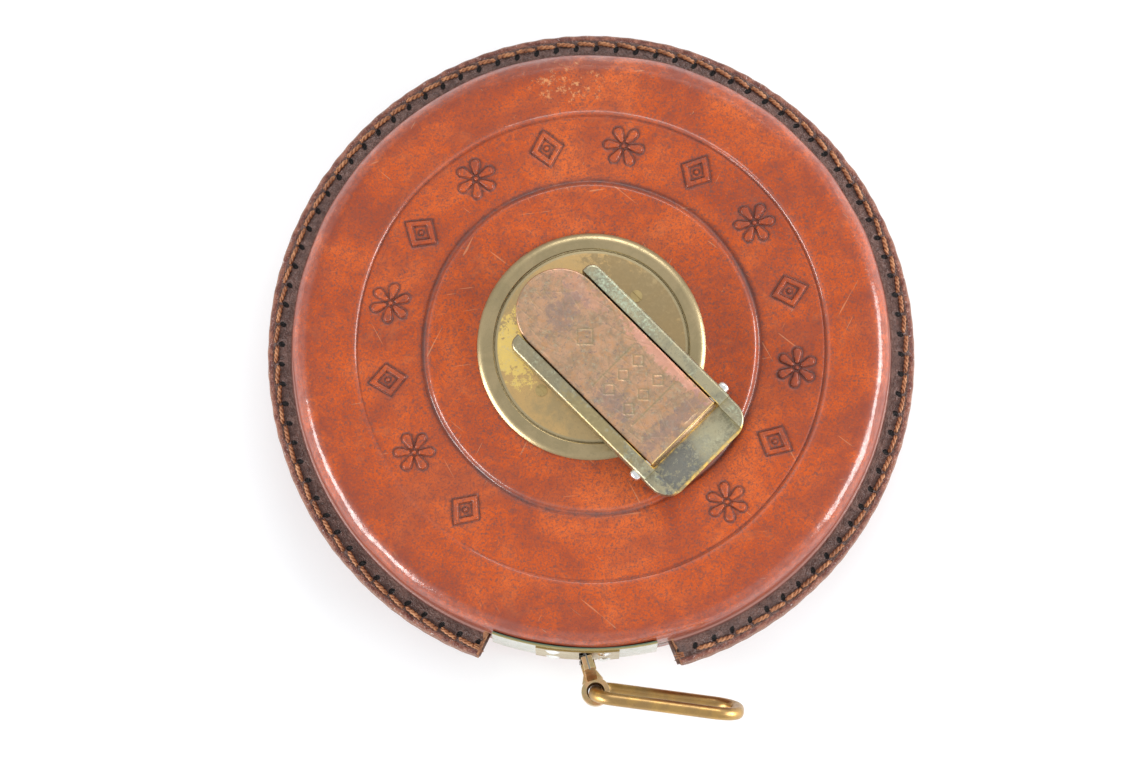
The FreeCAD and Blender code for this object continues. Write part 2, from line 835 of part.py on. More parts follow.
def end_clip():
    """A strap folded round the loop's wire: two leaves on the tape and an eye with a narrow waist."""
    wide = CLIP_TALL / 2
    narrow = EYE_TALL / 2
    half = TAPE_THICK / 2 + CLIP_SHEET
    side = [
        vec(CLIP_START, -half, TAPE_Z - wide),
        vec(CLIP_START + STRAIGHT_PART, -half, TAPE_Z - wide),
        vec(EYE_AT - EYE_NECK, -half, TAPE_Z - narrow),
        vec(EYE_AT, -half, TAPE_Z - narrow),
        vec(EYE_AT, -half, TAPE_Z + narrow),
        vec(EYE_AT - EYE_NECK, -half, TAPE_Z + narrow),
        vec(CLIP_START + STRAIGHT_PART, -half, TAPE_Z + wide),
        vec(CLIP_START, -half, TAPE_Z + wide),
    ]
    leaves = Part.Face(Part.makePolygon(side + side[:1])).extrude(vec(0, 2 * half, 0))
    eye = Part.makeCylinder(EYE_R, EYE_TALL, vec(EYE_AT, 0, TAPE_Z - narrow))
    neck = EYE_AT - EYE_NECK
    flare = [
        vec(neck - FLARE_LENGTH, -half, TAPE_Z - narrow),
        vec(neck, -FLARE_HALF, TAPE_Z - narrow),
        vec(neck, FLARE_HALF, TAPE_Z - narrow),
        vec(neck - FLARE_LENGTH, half, TAPE_Z - narrow),
    ]
    flare = Part.Face(Part.makePolygon(flare + flare[:1])).extrude(vec(0, 0, EYE_TALL))
    clip = merge([leaves, eye, flare])
    gap = slab(0, CLIP_START + 3, -TAPE_THICK / 2, TAPE_THICK / 2, 0, 30)
    fold_gap = slab(
        CLIP_START - 1, CLIP_START + 1, -half - 1, -TAPE_THICK / 2, TAB_LOW - 0.4, TAB_HIGH + 0.4
    )
    hole = turned(
        (0, -narrow), (EYE_MOUTH_R, -narrow), (EYE_WAIST_R, 0), (EYE_MOUTH_R, narrow), (0, narrow)
    )
    hole.translate(vec(EYE_AT, 0, TAPE_Z))
    return along_tape(cut_all(clip, [gap, fold_gap, hole] + clip_rivet_shanks()))


def clip_rivets():
    head = 0.3
    rivets = []
    for shank in clip_rivet_shanks():
        middle = shank.BoundBox.Center
        half = vec(0, shank.BoundBox.YMax)
        heads = [
            rod(CLIP_RIVET_HEAD_R, middle + half, middle + half + vec(0, head)),
            rod(CLIP_RIVET_HEAD_R, middle - half, middle - half - vec(0, head)),
        ]
        rivets.append(along_tape(merge([shank] + heads)))
    return Part.makeCompound(rivets)


def finger_loop():
    """A closed wire ring of four straight runs and four bends, made in the XZ plane."""
    half = LOOP_TALL / 2
    near = LOOP_NEAR_BEND
    far = LOOP_FAR_BEND
    corners = [
        (0, -half, near, 180),
        (LOOP_LENGTH, -half, far, 270),
        (LOOP_LENGTH, half, far, 0),
        (0, half, near, 90),
    ]
    edges = []
    here = vec(0, 0, half - near)
    for x, z, radius, start in corners:
        inward_x = radius if x == 0 else -radius
        inward_z = radius if z < 0 else -radius
        centre = vec(x + inward_x, 0, z + inward_z)
        around = [
            centre
            + vec(
                radius * math.cos(math.radians(start + turn)),
                0,
                radius * math.sin(math.radians(start + turn)),
            )
            for turn in (0, 45, 90)
        ]
        edges.append(Part.LineSegment(here, around[0]).toShape())
        edges.append(Part.Arc(*around).toShape())
        here = around[2]
    runs = []
    for edge in edges:
        circle = Part.Wire(Part.makeCircle(WIRE_R, edge.Vertexes[0].Point, tangent_at(edge)))
        runs.append(Part.Wire(edge).makePipeShell([circle], True, False))
    loop = merge(runs)
    loop.rotate(ORIGIN, vec(1, 0, 0), LOOP_LEAN)
    eye = along_tape(Part.Vertex(vec(EYE_AT, 0, TAPE_Z))).Point
    return placed(loop, LOOP_TURN, eye)


def tangent_at(edge):
    return edge.tangentAt(edge.FirstParameter)


NODES = {
    "front_shell": front_shell,
    "back_shell": back_shell,
    "seam_welt": seam_welt,
    "front_stitches": lambda: stitches(True),
    "back_stitches": lambda: stitches(False),
    "bezel": bezel,
    "bezel_clinch_ring": bezel_clinch_ring,
    "back_boss": back_boss,
    "back_boss_washer": back_boss_washer,
    "back_boss_rivets": back_boss_rivets,
    "thrust_washer": thrust_washer,
    "mouth_plate": mouth_plate,
    "mouth_lip": mouth_lip,
    "mouth_frame": mouth_frame,
    "guide_pins": guide_pins,
    "mouth_rivets": mouth_rivets,
    "hub_disc": hub_disc,
    "hub_screws": hub_screws,
    "spindle": spindle,
    "drum_core": drum_core,
    "front_flange": front_flange,
    "back_flange": back_flange,
    "flange_screws": flange_screws,
    "tape_anchor": tape_anchor,
    "tape_coil": tape_coil,
    "crank_base": crank_base,
    "base_rivets": base_rivets,
    "hinge_pin": hinge_pin,
    "crank_arm": crank_arm,
    "knob_stud": knob_stud,
    "finger_knob": finger_knob,
    "tape_lead": tape_lead,
    "end_clip": end_clip,
    "clip_rivets": clip_rivets,
    "finger_loop": finger_loop,
}

os.makedirs("parts", exist_ok=True)
for name, make in NODES.items():
    shape = make()
    box = shape.BoundBox
    print(
        f"{name:18s} solids {len(shape.Solids):3d} valid {shape.isValid()} volume {shape.Volume:10.1f}"
        f"  x {box.XMin:7.2f} {box.XMax:7.2f}  y {box.YMin:7.2f} {box.YMax:7.2f}"
        f"  z {box.ZMin:6.2f} {box.ZMax:6.2f}"
    )
    shape.exportStep(f"parts/{name}.step")
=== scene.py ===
import math
import random

import bmesh
import bpy
import numpy as np
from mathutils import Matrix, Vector


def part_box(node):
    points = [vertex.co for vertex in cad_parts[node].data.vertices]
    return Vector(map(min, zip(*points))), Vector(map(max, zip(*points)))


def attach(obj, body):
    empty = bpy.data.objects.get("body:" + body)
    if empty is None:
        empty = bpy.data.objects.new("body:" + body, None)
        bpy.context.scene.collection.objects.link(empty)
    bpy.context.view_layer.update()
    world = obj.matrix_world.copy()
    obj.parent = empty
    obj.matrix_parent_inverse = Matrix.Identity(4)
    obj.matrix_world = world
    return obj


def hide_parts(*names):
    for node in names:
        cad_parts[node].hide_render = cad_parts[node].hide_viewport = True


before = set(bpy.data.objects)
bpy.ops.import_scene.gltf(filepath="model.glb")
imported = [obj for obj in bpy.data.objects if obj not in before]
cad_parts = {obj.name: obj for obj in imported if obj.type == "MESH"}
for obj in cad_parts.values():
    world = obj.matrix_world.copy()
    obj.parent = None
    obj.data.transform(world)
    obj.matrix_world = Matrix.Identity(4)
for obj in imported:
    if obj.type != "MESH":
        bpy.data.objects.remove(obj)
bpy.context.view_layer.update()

# The looks of a leather-cased tape reel. Metres; dimensions are written in MM where that is handier.

MM = 0.001

# Leather case, from the frame where a node's box gives it
FLANGE_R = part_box("front_shell")[1][0]
PLATEAU_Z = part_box("front_shell")[1][2]
SEAM_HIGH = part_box("front_shell")[0][2]
SEAM_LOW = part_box("back_shell")[1][2]
STITCH_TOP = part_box("front_stitches")[0][2]
STITCH_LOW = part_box("back_stitches")[1][2]
WALL_R = 64.3 * MM
LEATHER = 2.4 * MM
EDGE_R = 5.0 * MM
RISE = 0.8 * MM
PLATEAU_R = 35.3 * MM
STEP_FROM = 34.0 * MM
STEP_TO = 36.8 * MM
BAND_FROM = 40.4 * MM
CREASE_R = 50.3 * MM
CREASE_FROM = 49.0 * MM
CREASE_TO = 51.4 * MM
FACE_R = 59.3 * MM
HOLE_R = 22.1 * MM
BACK_HOLE_R = 9.2 * MM
BAND_Z = PLATEAU_Z - RISE
GAP_FROM = math.radians(-90 - 20.6)
GAP_TO = math.radians(-90 + 15.8)
COLUMNS = 840

# Mouth window through the wall
WINDOW_AT = math.radians(-91.24)
WINDOW_HALF = math.radians(2.2)
WINDOW_TOP = 24.2 * MM

# Seam
STITCH_R = 68.0 * MM
STITCHES = 97
PITCH = 2 * math.pi / STITCHES

# Embossed ring of ornaments
MOTIF_R = 44.2 * MM
MOTIF_SIZE = 3.7 * MM
MOTIFS = 14
MOTIF_FIRST = math.radians(-49)
MOTIF_STEP = math.radians(21.65)
PETAL = math.pi / 3
PETAL_AT = 2.2 * MM
PETAL_HALF = 0.9 * MM
PETAL_R = 0.25 * MM
PETAL_GROWTH = 0.22
DOT_R = 0.5 * MM
LOZENGE = (0.95 * MOTIF_SIZE, 1.1 * MOTIF_SIZE)
LINE_HALF = 0.6 * MM

# Groove between bezel and hub
GROOVE_R = 21.0 * MM
GROOVE_STEPS = 480

# Crank, in its own frame: s runs from the spindle towards the hinge, t across.
# A mark is (s, t, half its width) in millimetres, a rule the s of a ruled line.
CRANK_TURN = math.radians(-45)
ARM_HALF = 9.45 * MM
ARM_ROUND_S = -9.5 * MM
ARM_END_S = 27.6 * MM
ARM_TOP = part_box("crank_arm")[1][2]
ARM_LOW = 34.0 * MM
ARM_MARKS = [(-2.0, 0.0, 2.3)]
ARM_MARKS += [(row, column, 1.5) for row in (9.6, 15.6) for column in (-4.4, 0.0, 4.4)]
ARM_RULES = (6.6, 18.6)
ARM_SCRATCHES = 46
KNUCKLE_HALF = 9.35 * MM
KNUCKLE_R = 1.75 * MM
KNUCKLE_BORE = 1.05 * MM
PIN_S = 26.5 * MM
PIN_Z = 34.8 * MM


# ---- meshes


def link(name, mesh):
    obj = bpy.data.objects.new(name, mesh)
    bpy.context.scene.collection.objects.link(obj)
    return obj


def mesh_object(name, points, faces, materials):
    mesh = bpy.data.meshes.new(name)
    mesh.from_pydata([tuple(p) for p in points], [], faces)
    mesh.validate()
    for material in materials:
        mesh.materials.append(material)
    mesh.polygons.foreach_set("use_smooth", [True] * len(mesh.polygons))
    mesh.update()
    return link(name, mesh)


def mark_points(obj, label, values):
    """Gives every point of a mesh a number that its material can read."""
    marks = obj.data.attributes.new(label, "FLOAT", "POINT")
    marks.data.foreach_set("value", values.reshape(-1).astype(np.float32))


def grid_faces(rows, columns, wrap_rows=True, wrap_columns=True):
    faces = []
    for i in range(rows if wrap_rows else rows - 1):
        for j in range(columns if wrap_columns else columns - 1):
            a = i * columns + j
            b = i * columns + (j + 1) % columns
            c = (i + 1) % rows * columns + (j + 1) % columns
            d = (i + 1) % rows * columns + j
            faces.append((a, b, c, d))
    return faces


def line(start, end, count):
    """Points from start up to, not including, end."""
    return [
        (start[0] + (end[0] - start[0]) * k / count, start[1] + (end[1] - start[1]) * k / count)
        for k in range(count)
    ]


def arc(centre, radius, start_deg, end_deg, count):
    """Points on an arc from its start up to, not including, its end."""
    points = []
    for k in range(count):
        a = math.radians(start_deg + (end_deg - start_deg) * k / count)
        points.append((centre[0] + radius * math.cos(a), centre[1] + radius * math.sin(a)))
    return points


def waves(seed, count, longest, shortest):
    """A smooth random field over the plane, a sum of plane waves. Its size is about 1."""
    rng = np.random.default_rng(seed)
    lengths = np.exp(rng.uniform(math.log(shortest), math.log(longest), count))
    angles = rng.uniform(0, 2 * math.pi, count)
    phases = rng.uniform(0, 2 * math.pi, count)

    def field(x, y):
        total = np.zeros_like(x)
        for length, angle, phase in zip(lengths, angles, phases):
            k = 2 * math.pi / length
            total += np.sin(k * (x * math.cos(angle) + y * math.sin(angle)) + phase)
        return total / math.sqrt(count)

    return field


def hump(x, width):
    """A smooth hump: 1 where x is 0, nearly 0 two widths away."""
    return np.exp(-((x / width) ** 2))


def turn_from(start, angle):
    """The angle from start, between minus and plus half a turn."""
    return (angle - start + math.pi) % (2 * math.pi) - math.pi


def around(radius, angle, height):
    """Points at a distance from the spindle's axis, in a direction, at a height."""
    return np.stack([np.cos(angle) * radius, np.sin(angle) * radius, height], -1)


def smooth_step(x, low, high):
    t = np.clip((x - low) / (high - low), 0, 1)
    return t * t * (3 - 2 * t)


# ---- materials


class Shader:
    """A short way to write a node tree round one Principled shader.

    Coordinates are in metres, as everywhere, but noise, cells, spot, edges and bump take millimetres.
    """

    def __init__(self, name):
        self.material = bpy.data.materials.new(name)
        self.material.use_nodes = True
        self.tree = self.material.node_tree
        self.tree.nodes.clear()
        self.bsdf = self.node("BsdfPrincipled")
        self.node("OutputMaterial", Surface=self.bsdf.outputs[0])
        self.coords = self.node("TexCoord").outputs["Object"]
        self.on_crank = self.mapped((math.degrees(CRANK_TURN), 1, 1, 1))

    def put(self, socket, value):
        """Links a socket to another, or sets it. A tuple is a colour."""
        if isinstance(value, bpy.types.NodeSocket):
            self.tree.links.new(value, socket)
        else:
            socket.default_value = (*value, 1) if isinstance(value, tuple) else value

    def node(self, kind, **inputs):
        """A new node with some of its inputs linked or set."""
        node = self.tree.nodes.new("ShaderNode" + kind)
        for label, value in inputs.items():
            self.put(node.inputs[label], value)
        return node

    def math(self, operation, a, b=0.0, c=0.0):
        node = self.node("Math")
        node.operation = operation
        for socket, value in zip(node.inputs, (a, b, c)):
            self.put(socket, value)
        return node.outputs[0]

    def times(self, a, b):
        return self.math("MULTIPLY", a, b)

    def plus(self, a, b):
        return self.math("ADD", a, b)

    def minus(self, a, b):
        return self.math("SUBTRACT", a, b)

    def over(self, a, b):
        return self.math("DIVIDE", a, b)

    def most(self, a, b):
        return self.math("MAXIMUM", a, b)

    def abs(self, a):
        return self.math("ABSOLUTE", a)

    def noise(self, size, detail=4.0, rough=0.55, warp=0.0, stretch=None):
        """Noise from 0 to 1 whose largest spots are about size across."""
        node = self.node("TexNoise", Scale=1 / (size * MM), Vector=self.mapped(stretch))
        for label, value in (("Detail", detail), ("Roughness", rough), ("Distortion", warp)):
            self.put(node.inputs[label], value)
        return node.outputs["Fac"]

    def cells(self, size):
        """Rounded cells about size across: the grain of leather."""
        node = self.node("TexVoronoi", Scale=1 / (size * MM), Vector=self.coords)
        node.feature = "SMOOTH_F1"
        return node.outputs["Distance"]

    def mapped(self, stretch):
        """Coordinates turned about Z, then drawn out: stretch is (degrees, x, y, z lengths)."""
        if stretch is None:
            return self.coords
        turn = self.node("Mapping", Vector=self.coords)
        turn.vector_type = "TEXTURE"
        turn.inputs["Rotation"].default_value = (0, 0, math.radians(stretch[0]))
        turn.inputs["Scale"].default_value = stretch[1:]
        return turn.outputs[0]

    def ramp(self, value, *stops):
        """Stops are (position, grey or colour)."""
        node = self.node("ValToRGB", Fac=value)
        points = node.color_ramp.elements
        while len(points) < len(stops):
            points.new(0.5)
        for point, (position, colour) in zip(points, stops):
            point.position = position
            if isinstance(colour, (int, float)):
                colour = (colour,) * 3
            point.color = (*colour, 1)
        return node.outputs[0]

    def mix(self, amount, a, b):
        node = self.node("Mix")
        node.data_type = "RGBA"
        for index, value in ((0, amount), (6, a), (7, b)):
            self.put(node.inputs[index], value)
        return node.outputs[2]

    def tint(self, base, mask, share, colour):
        """Lays a colour over base where the mask is 1, as strongly as share says."""
        return self.mix(self.times(mask, share), base, colour)

    def attribute(self, name):
        node = self.node("Attribute")
        node.attribute_name = name
        return node.outputs["Fac"]

    def axes(self, coords=None):
        return self.node("SeparateXYZ", Vector=coords or self.coords).outputs

    def spot(self, s, t, size, ragged=0.5, coords=None):
        """1 inside a soft, uneven patch of the crank, at s and t and size[0] by size[1] across."""
        x, y, _ = self.axes(coords or self.on_crank)
        a = self.over(self.minus(x, s * MM), size[0] * MM / 2)
        b = self.over(self.minus(y, t * MM), size[1] * MM / 2)
        reach = self.length(a, b)
        uneven = self.times(self.minus(self.noise(1.5, 6, 0.75), 0.5), 4 * ragged)
        return self.between(self.plus(reach, uneven), 1.15, 0.75)

    def edges(self, size):
        """1 on convex and concave edges, out to about size."""
        bevel = self.node("Bevel", Radius=size * MM)
        bevel.samples = 6
        plain = self.node("NewGeometry").outputs["Normal"]
        dot = self.node("VectorMath")
        dot.operation = "DOT_PRODUCT"
        self.put(dot.inputs[0], bevel.outputs[0])
        self.put(dot.inputs[1], plain)
        return self.between(dot.outputs["Value"], 0.985, 0.88)

    def length(self, x, y):
        return self.math("SQRT", self.math("MULTIPLY_ADD", x, x, self.times(y, y)))

    def radius(self):
        x, y, _ = self.axes()
        return self.length(x, y)

    def between(self, value, low, high):
        """0 at low rising to 1 at high, or falling if high is under low."""
        node = self.node("MapRange")
        node.interpolation_type = "SMOOTHSTEP"
        for socket, number in zip(node.inputs[:5], (value, low, high, 0.0, 1.0)):
            self.put(socket, number)
        return node.outputs[0]

    def bump(self, height, distance, strength=1.0):
        """Adds a bump; height 1 stands distance above height 0."""
        node = self.node("Bump", Height=height, Distance=distance * MM, Strength=strength)
        normal = self.bsdf.inputs["Normal"]
        if normal.links:
            self.put(node.inputs["Normal"], normal.links[0].from_socket)
        self.put(normal, node.outputs[0])

    def finish(self, colour, rough, metallic=0.0, coat=0.0, coat_rough=0.2, specular=0.5):
        inputs = self.bsdf.inputs
        for label, value in (("Base Color", colour), ("Roughness", rough), ("Metallic", metallic),
                             ("Coat Weight", coat)):
            self.put(inputs[label], value)
        inputs["Specular IOR Level"].default_value = specular
        inputs["Coat Roughness"].default_value = coat_rough
        normal, coat_normal = inputs["Normal"], inputs["Coat Normal"]
        if coat and normal.links and not coat_normal.links:
            self.put(coat_normal, normal.links[0].from_socket)
        return self.material


def seam_marks(s, radius):
    """1 inside the awl holes, one between each two stitches and a little inside their line."""
    x, y, _ = s.axes()
    angle = s.over(s.math("ARCTAN2", y, x), PITCH)
    along = s.minus(s.math("FRACT", s.plus(angle, 0.5)), 0.5)
    along = s.times(along, PITCH * STITCH_R)
    inward = s.minus(STITCH_R - 1.05 * MM, radius)
    across = s.over(s.minus(along, s.times(inward, 0.25)), 0.6 * MM)
    length = s.over(inward, 0.75 * MM)
    reach = s.length(across, length)
    uneven = s.times(s.minus(s.noise(0.9, 3, 0.7), 0.5), 0.8)
    return s.between(s.plus(reach, uneven), 1.1, 0.75)


def ornament_distance(s, radius):
    """What ornament() gives, for the whole ring, so that the material can sharpen its lines."""
    x, y, _ = s.axes()
    turn = s.plus(s.math("ARCTAN2", y, x), 2 * math.pi + MOTIF_STEP / 2 - MOTIF_FIRST)
    turn = s.over(s.math("MODULO", turn, 2 * math.pi), MOTIF_STEP)
    a = s.times(s.minus(s.math("FRACT", turn), 0.5), MOTIF_STEP)
    a = s.times(a, radius)
    b = s.minus(radius, MOTIF_R)
    reach = s.length(a, b)
    fold = s.math("FRACT", s.plus(s.over(s.math("ARCTAN2", b, a), PETAL), 0.5))
    fold = s.times(s.minus(fold, 0.5), PETAL)
    along = s.times(reach, s.math("COSINE", fold))
    past_end = s.minus(s.abs(s.minus(along, PETAL_AT)), PETAL_HALF)
    across = s.times(reach, s.math("SINE", fold))
    petals = s.minus(s.length(s.most(past_end, 0.0), across), PETAL_R)
    petals = s.minus(petals, s.times(along, PETAL_GROWTH))
    wide, tall = LOZENGE
    outline = s.times(s.abs(a), tall)
    outline = s.math("MULTIPLY_ADD", s.abs(b), wide, outline)
    outline = s.over(s.minus(outline, wide * tall), math.hypot(wide, tall))
    lozenge = s.minus(s.abs(s.plus(outline, LINE_HALF)), LINE_HALF)
    odd = s.math("GREATER_THAN", s.math("FRACT", s.over(turn, 2.0)), 0.5)
    lines = s.plus(petals, s.times(odd, s.minus(lozenge, petals)))
    lines = s.math("MINIMUM", lines, s.minus(reach, DOT_R))
    return s.plus(lines, s.math("GREATER_THAN", turn, float(MOTIFS)))


def case_leather(name):
    s = Shader(name)
    radius = s.radius()
    clouds = s.noise(19, 5, 0.62, 0.5)
    mottle = s.noise(1.9, 8, 0.8, 0.3)
    flecks = s.noise(0.5, 3, 0.85, 0.5)
    tones = ((0.32, (0.32, 0.05, 0.0125)), (0.5, (0.455, 0.073, 0.011)), (0.68, (0.56, 0.11, 0.023)))
    base = s.ramp(clouds, *tones)
    base = s.tint(base, s.between(mottle, 0.44, 0.68), 0.6, (0.18, 0.045, 0.028))
    base = s.tint(base, s.between(flecks, 0.5, 0.6), 0.75, (0.12, 0.056, 0.046))
    base = s.tint(base, s.between(flecks, 0.44, 0.3), 0.5, (0.62, 0.115, 0.018))
    dusky = s.between(s.noise(13, 5, 0.6, 1.0, (30, 1.6, 1.0, 1.0)), 0.44, 0.66)
    base = s.tint(base, dusky, 0.5, (0.2, 0.045, 0.026))
    faded = s.times(s.between(s.noise(11, 6, 0.72, 0.8), 0.56, 0.72), 0.3)
    base = s.mix(faded, base, (0.52, 0.14, 0.045))
    scuffs = s.between(s.noise(1.3, 6, 0.78, 1.0), 0.64, 0.72)
    scuffs = s.times(scuffs, s.between(s.noise(16, 3), 0.52, 0.62))
    base = s.tint(base, scuffs, 0.7, (0.66, 0.36, 0.17))
    rubbed = s.spot(-4, 58, (15, 9), 0.8, s.coords)
    rubbed = s.times(rubbed, s.between(s.noise(1.6, 6, 0.75), 0.52, 0.62))
    base = s.tint(base, rubbed, 0.7, (0.62, 0.3, 0.13))
    for turn, length in ((-62, 30.0), (-38, 24.0), (63, 22.0), (8, 18.0)):
        lines = s.noise(0.9, 2, 0.5, 0.15, (turn, length, 1.0, 1.0))
        base = s.tint(base, s.between(lines, 0.74, 0.77), 0.4, (0.6, 0.28, 0.14))
    line_distance = ornament_distance(s, radius)
    face = s.attribute("face")
    # Painted shade in the groove just outside each ornament line, drawn sharper than the mesh can.
    line_groove_shade = s.between(s.abs(s.minus(line_distance, 0.18 * MM)), 0.26 * MM, 0.1 * MM)
    line_groove_shade = s.times(line_groove_shade, face)
    crest = s.between(s.abs(s.plus(line_distance, 0.1 * MM)), 0.22 * MM, 0.1 * MM)
    crest = s.times(crest, face)
    # Painted shade from the mesh (grooves, crease, step) and along the ornament grooves darkens the
    # leather.
    dark_marks_and_shade = s.most(s.attribute("dark_marks_and_shade"), s.times(line_groove_shade, 0.85))
    dark_marks_and_shade = s.times(dark_marks_and_shade, s.ramp(mottle, (0.3, 0.75), (0.7, 1.0)))
    base = s.tint(base, dark_marks_and_shade, 0.9, (0.105, 0.062, 0.06))
    rim_dusk = s.between(s.noise(6, 7, 0.78), 0.42, 0.58)
    rim_dusk = s.times(s.between(radius, 55 * MM, 61 * MM), rim_dusk)
    base = s.tint(base, rim_dusk, 0.6, (0.2, 0.045, 0.028))
    from_seam = s.abs(s.minus(s.axes()[2], (SEAM_HIGH + SEAM_LOW) / 2))
    foot = s.between(from_seam, 5.2 * MM, 4.2 * MM)
    # The wall is darker leather; towards its foot by the flange it darkens further, painted shade in
    # the corner.
    wall_tone_and_shade = s.times(s.between(radius, 63.5 * MM, 64.0 * MM), s.plus(0.4, s.times(foot, 0.35)))
    base = s.mix(wall_tone_and_shade, base, (0.14, 0.035, 0.024))
    seam_edge = STITCH_R + 0.55 * MM
    flange = s.between(radius, WALL_R + 0.1 * MM, WALL_R + 0.9 * MM)
    strip = s.mix(s.between(mottle, 0.4, 0.65), (0.085, 0.046, 0.038), (0.19, 0.11, 0.09))
    outer = s.between(s.noise(2.2, 6, 0.75), 0.4, 0.62)
    outer = s.mix(outer, (0.12, 0.03, 0.02), (0.3, 0.115, 0.07))
    strip = s.mix(s.between(radius, seam_edge, seam_edge + 0.5 * MM), strip, outer)
    uneven = s.times(s.minus(s.noise(1.4, 5, 0.7), 0.5), 0.8 * MM)
    raw_edge = s.between(s.plus(radius, uneven), FLANGE_R - 0.5 * MM, FLANGE_R - 0.2 * MM)
    strip = s.tint(strip, raw_edge, 0.7, (0.26, 0.135, 0.085))
    # Painted highlights: pale specks on the flange's outer lip stand for the glints of its gloss.
    lip_glints = s.between(s.noise(0.7, 4, 0.8), 0.6, 0.66)
    lip_glints = s.times(lip_glints, s.between(radius, seam_edge, 69.0 * MM))
    strip = s.tint(strip, lip_glints, 0.6, (0.7, 0.62, 0.6))
    holes = s.times(seam_marks(s, radius), flange)
    # Painted shade: the awl holes are only bumps, so their dark insides are coloured near black.
    strip = s.mix(holes, strip, (0.004, 0.003, 0.003))
    base = s.mix(flange, base, strip)
    # Painted reflection: a pinkish line along the foot of the wall, where it would mirror the bright
    # floor.
    floor_reflection = s.between(s.abs(s.minus(radius, WALL_R + 0.1 * MM)), 0.4 * MM, 0.15 * MM)
    base = s.tint(base, s.times(floor_reflection, foot), 0.4, (0.5, 0.31, 0.27))
    s.bump(s.noise(3.5, 4, 0.6), 0.3, 0.4)
    s.bump(s.noise(0.7, 4, 0.7, 0.5), 0.035, 0.3)
    s.bump(s.times(flange, s.noise(0.9, 4, 0.7)), 0.7, 0.9)
    raised = s.times(s.between(line_distance, 0.14 * MM, -0.26 * MM), face)
    s.bump(raised, 0.4, 1.0)
    s.put(s.bsdf.inputs["Coat Normal"], s.bsdf.inputs["Normal"].links[0].from_socket)
    s.bump(s.cells(0.8), 0.06, 0.4)
    s.bump(s.noise(0.3, 4, 0.75), 0.06, 0.5)
    s.bump(s.times(holes, -1.0), 0.5, 0.8)
    rough = s.ramp(s.noise(5, 6, 0.75), (0.3, 0.36), (0.72, 0.55))
    rough = s.mix(flange, rough, s.ramp(mottle, (0.3, 0.26), (0.7, 0.6)))
    shoulder = s.times(s.between(radius, 60.9 * MM, 62.0 * MM), s.between(radius, 64.1 * MM, 63.7 * MM))
    lip = s.times(s.between(radius, WALL_R + 1 * MM, WALL_R + 2 * MM), s.minus(0.3, holes))
    shoulder = s.times(shoulder, s.ramp(mottle, (0.38, 1.0), (0.6, 0.4)))
    wall = s.times(s.between(radius, 63.8 * MM, 64.1 * MM), s.minus(0.35, flange))
    polish = s.most(s.most(s.attribute("ridge"), wall), s.most(shoulder, crest))
    coat = s.plus(0.06, s.times(s.most(polish, lip), 0.94))
    s.bsdf.inputs["Coat IOR"].default_value = 1.7
    return s.finish(base, rough, coat=coat, coat_rough=0.15, specular=0.17)


def raw_leather(name):
    s = Shader(name)
    fibres = s.noise(0.5, 5, 0.75, 0.8)
    base = s.ramp(fibres, (0.3, (0.12, 0.05, 0.03)), (0.5, (0.4, 0.17, 0.08)), (0.72, (0.7, 0.4, 0.22)))
    s.bump(fibres, 0.3, 1.0)
    return s.finish(base, 0.8)


def welt_leather(name):
    s = Shader(name)
    layers = s.noise(0.6, 5, 0.7, 0.4, (0, 4.0, 4.0, 1.0))
    tones = ((0.3, (0.05, 0.022, 0.016)), (0.55, (0.16, 0.07, 0.045)), (0.8, (0.4, 0.21, 0.12)))
    base = s.ramp(layers, *tones)
    s.bump(layers, 0.2, 0.7)
    return s.finish(base, 0.5, coat=0.2, coat_rough=0.3)


def waxed_thread(name):
    s = Shader(name)
    wear = s.noise(1.6, 5, 0.7)
    tones = ((0.3, (0.13, 0.05, 0.025)), (0.5, (0.34, 0.13, 0.05)), (0.7, (0.56, 0.28, 0.13)))
    base = s.ramp(wear, *tones)
    fuzz = s.noise(0.18, 3, 0.7)
    base = s.tint(base, s.between(fuzz, 0.5, 0.7), 0.45, (0.16, 0.06, 0.03))
    s.bump(fuzz, 0.06, 0.7)
    return s.finish(base, 0.5)


def old_metal(s, bright, dull, tarnish, rough, spots, film_size, green=0.0, worn=None, grain=1.0):
    """Rubbed metal with a dull film, dark pits and green salts. Gives (colour, roughness, metallic)."""
    broad = s.noise(film_size, 6, 0.7, 0.6)
    fine = s.noise(0.8, 7, 0.78, 0.4)
    base = s.mix(s.between(broad, 0.36, 0.64), dull, bright)
    pits = s.between(fine, 0.5, 0.7)
    base = s.tint(base, pits, spots, tarnish)
    rough_map = s.plus(s.times(broad, -0.2), rough + 0.12)
    rough_map = s.plus(rough_map, s.times(pits, 0.2))
    metallic = s.minus(1.0, s.times(pits, 0.3 * spots))
    if green:
        salts = s.between(s.noise(1.2, 7, 0.8, 0.8), 0.5, 0.62)
        salts = s.times(salts, s.between(broad, 0.62, 0.38))
        salts = s.times(salts, green)
        base = s.mix(salts, base, (0.46, 0.52, 0.36))
        rough_map = s.plus(rough_map, s.times(salts, 0.35))
        metallic = s.minus(metallic, s.times(salts, 0.6))
    if worn:
        rim = s.times(s.edges(0.3), s.ramp(fine, (0.35, 1.0), (0.65, 0.35)))
        base = s.mix(rim, base, worn)
        rough_map = s.minus(rough_map, s.times(rim, 0.1))
    s.bump(broad, 0.12, 0.5)
    s.bump(fine, 0.035 * grain, 0.4)
    return base, rough_map, metallic


def aged_metal(name, *look, **more):
    s = Shader(name)
    return s.finish(*old_metal(s, *look, **more))


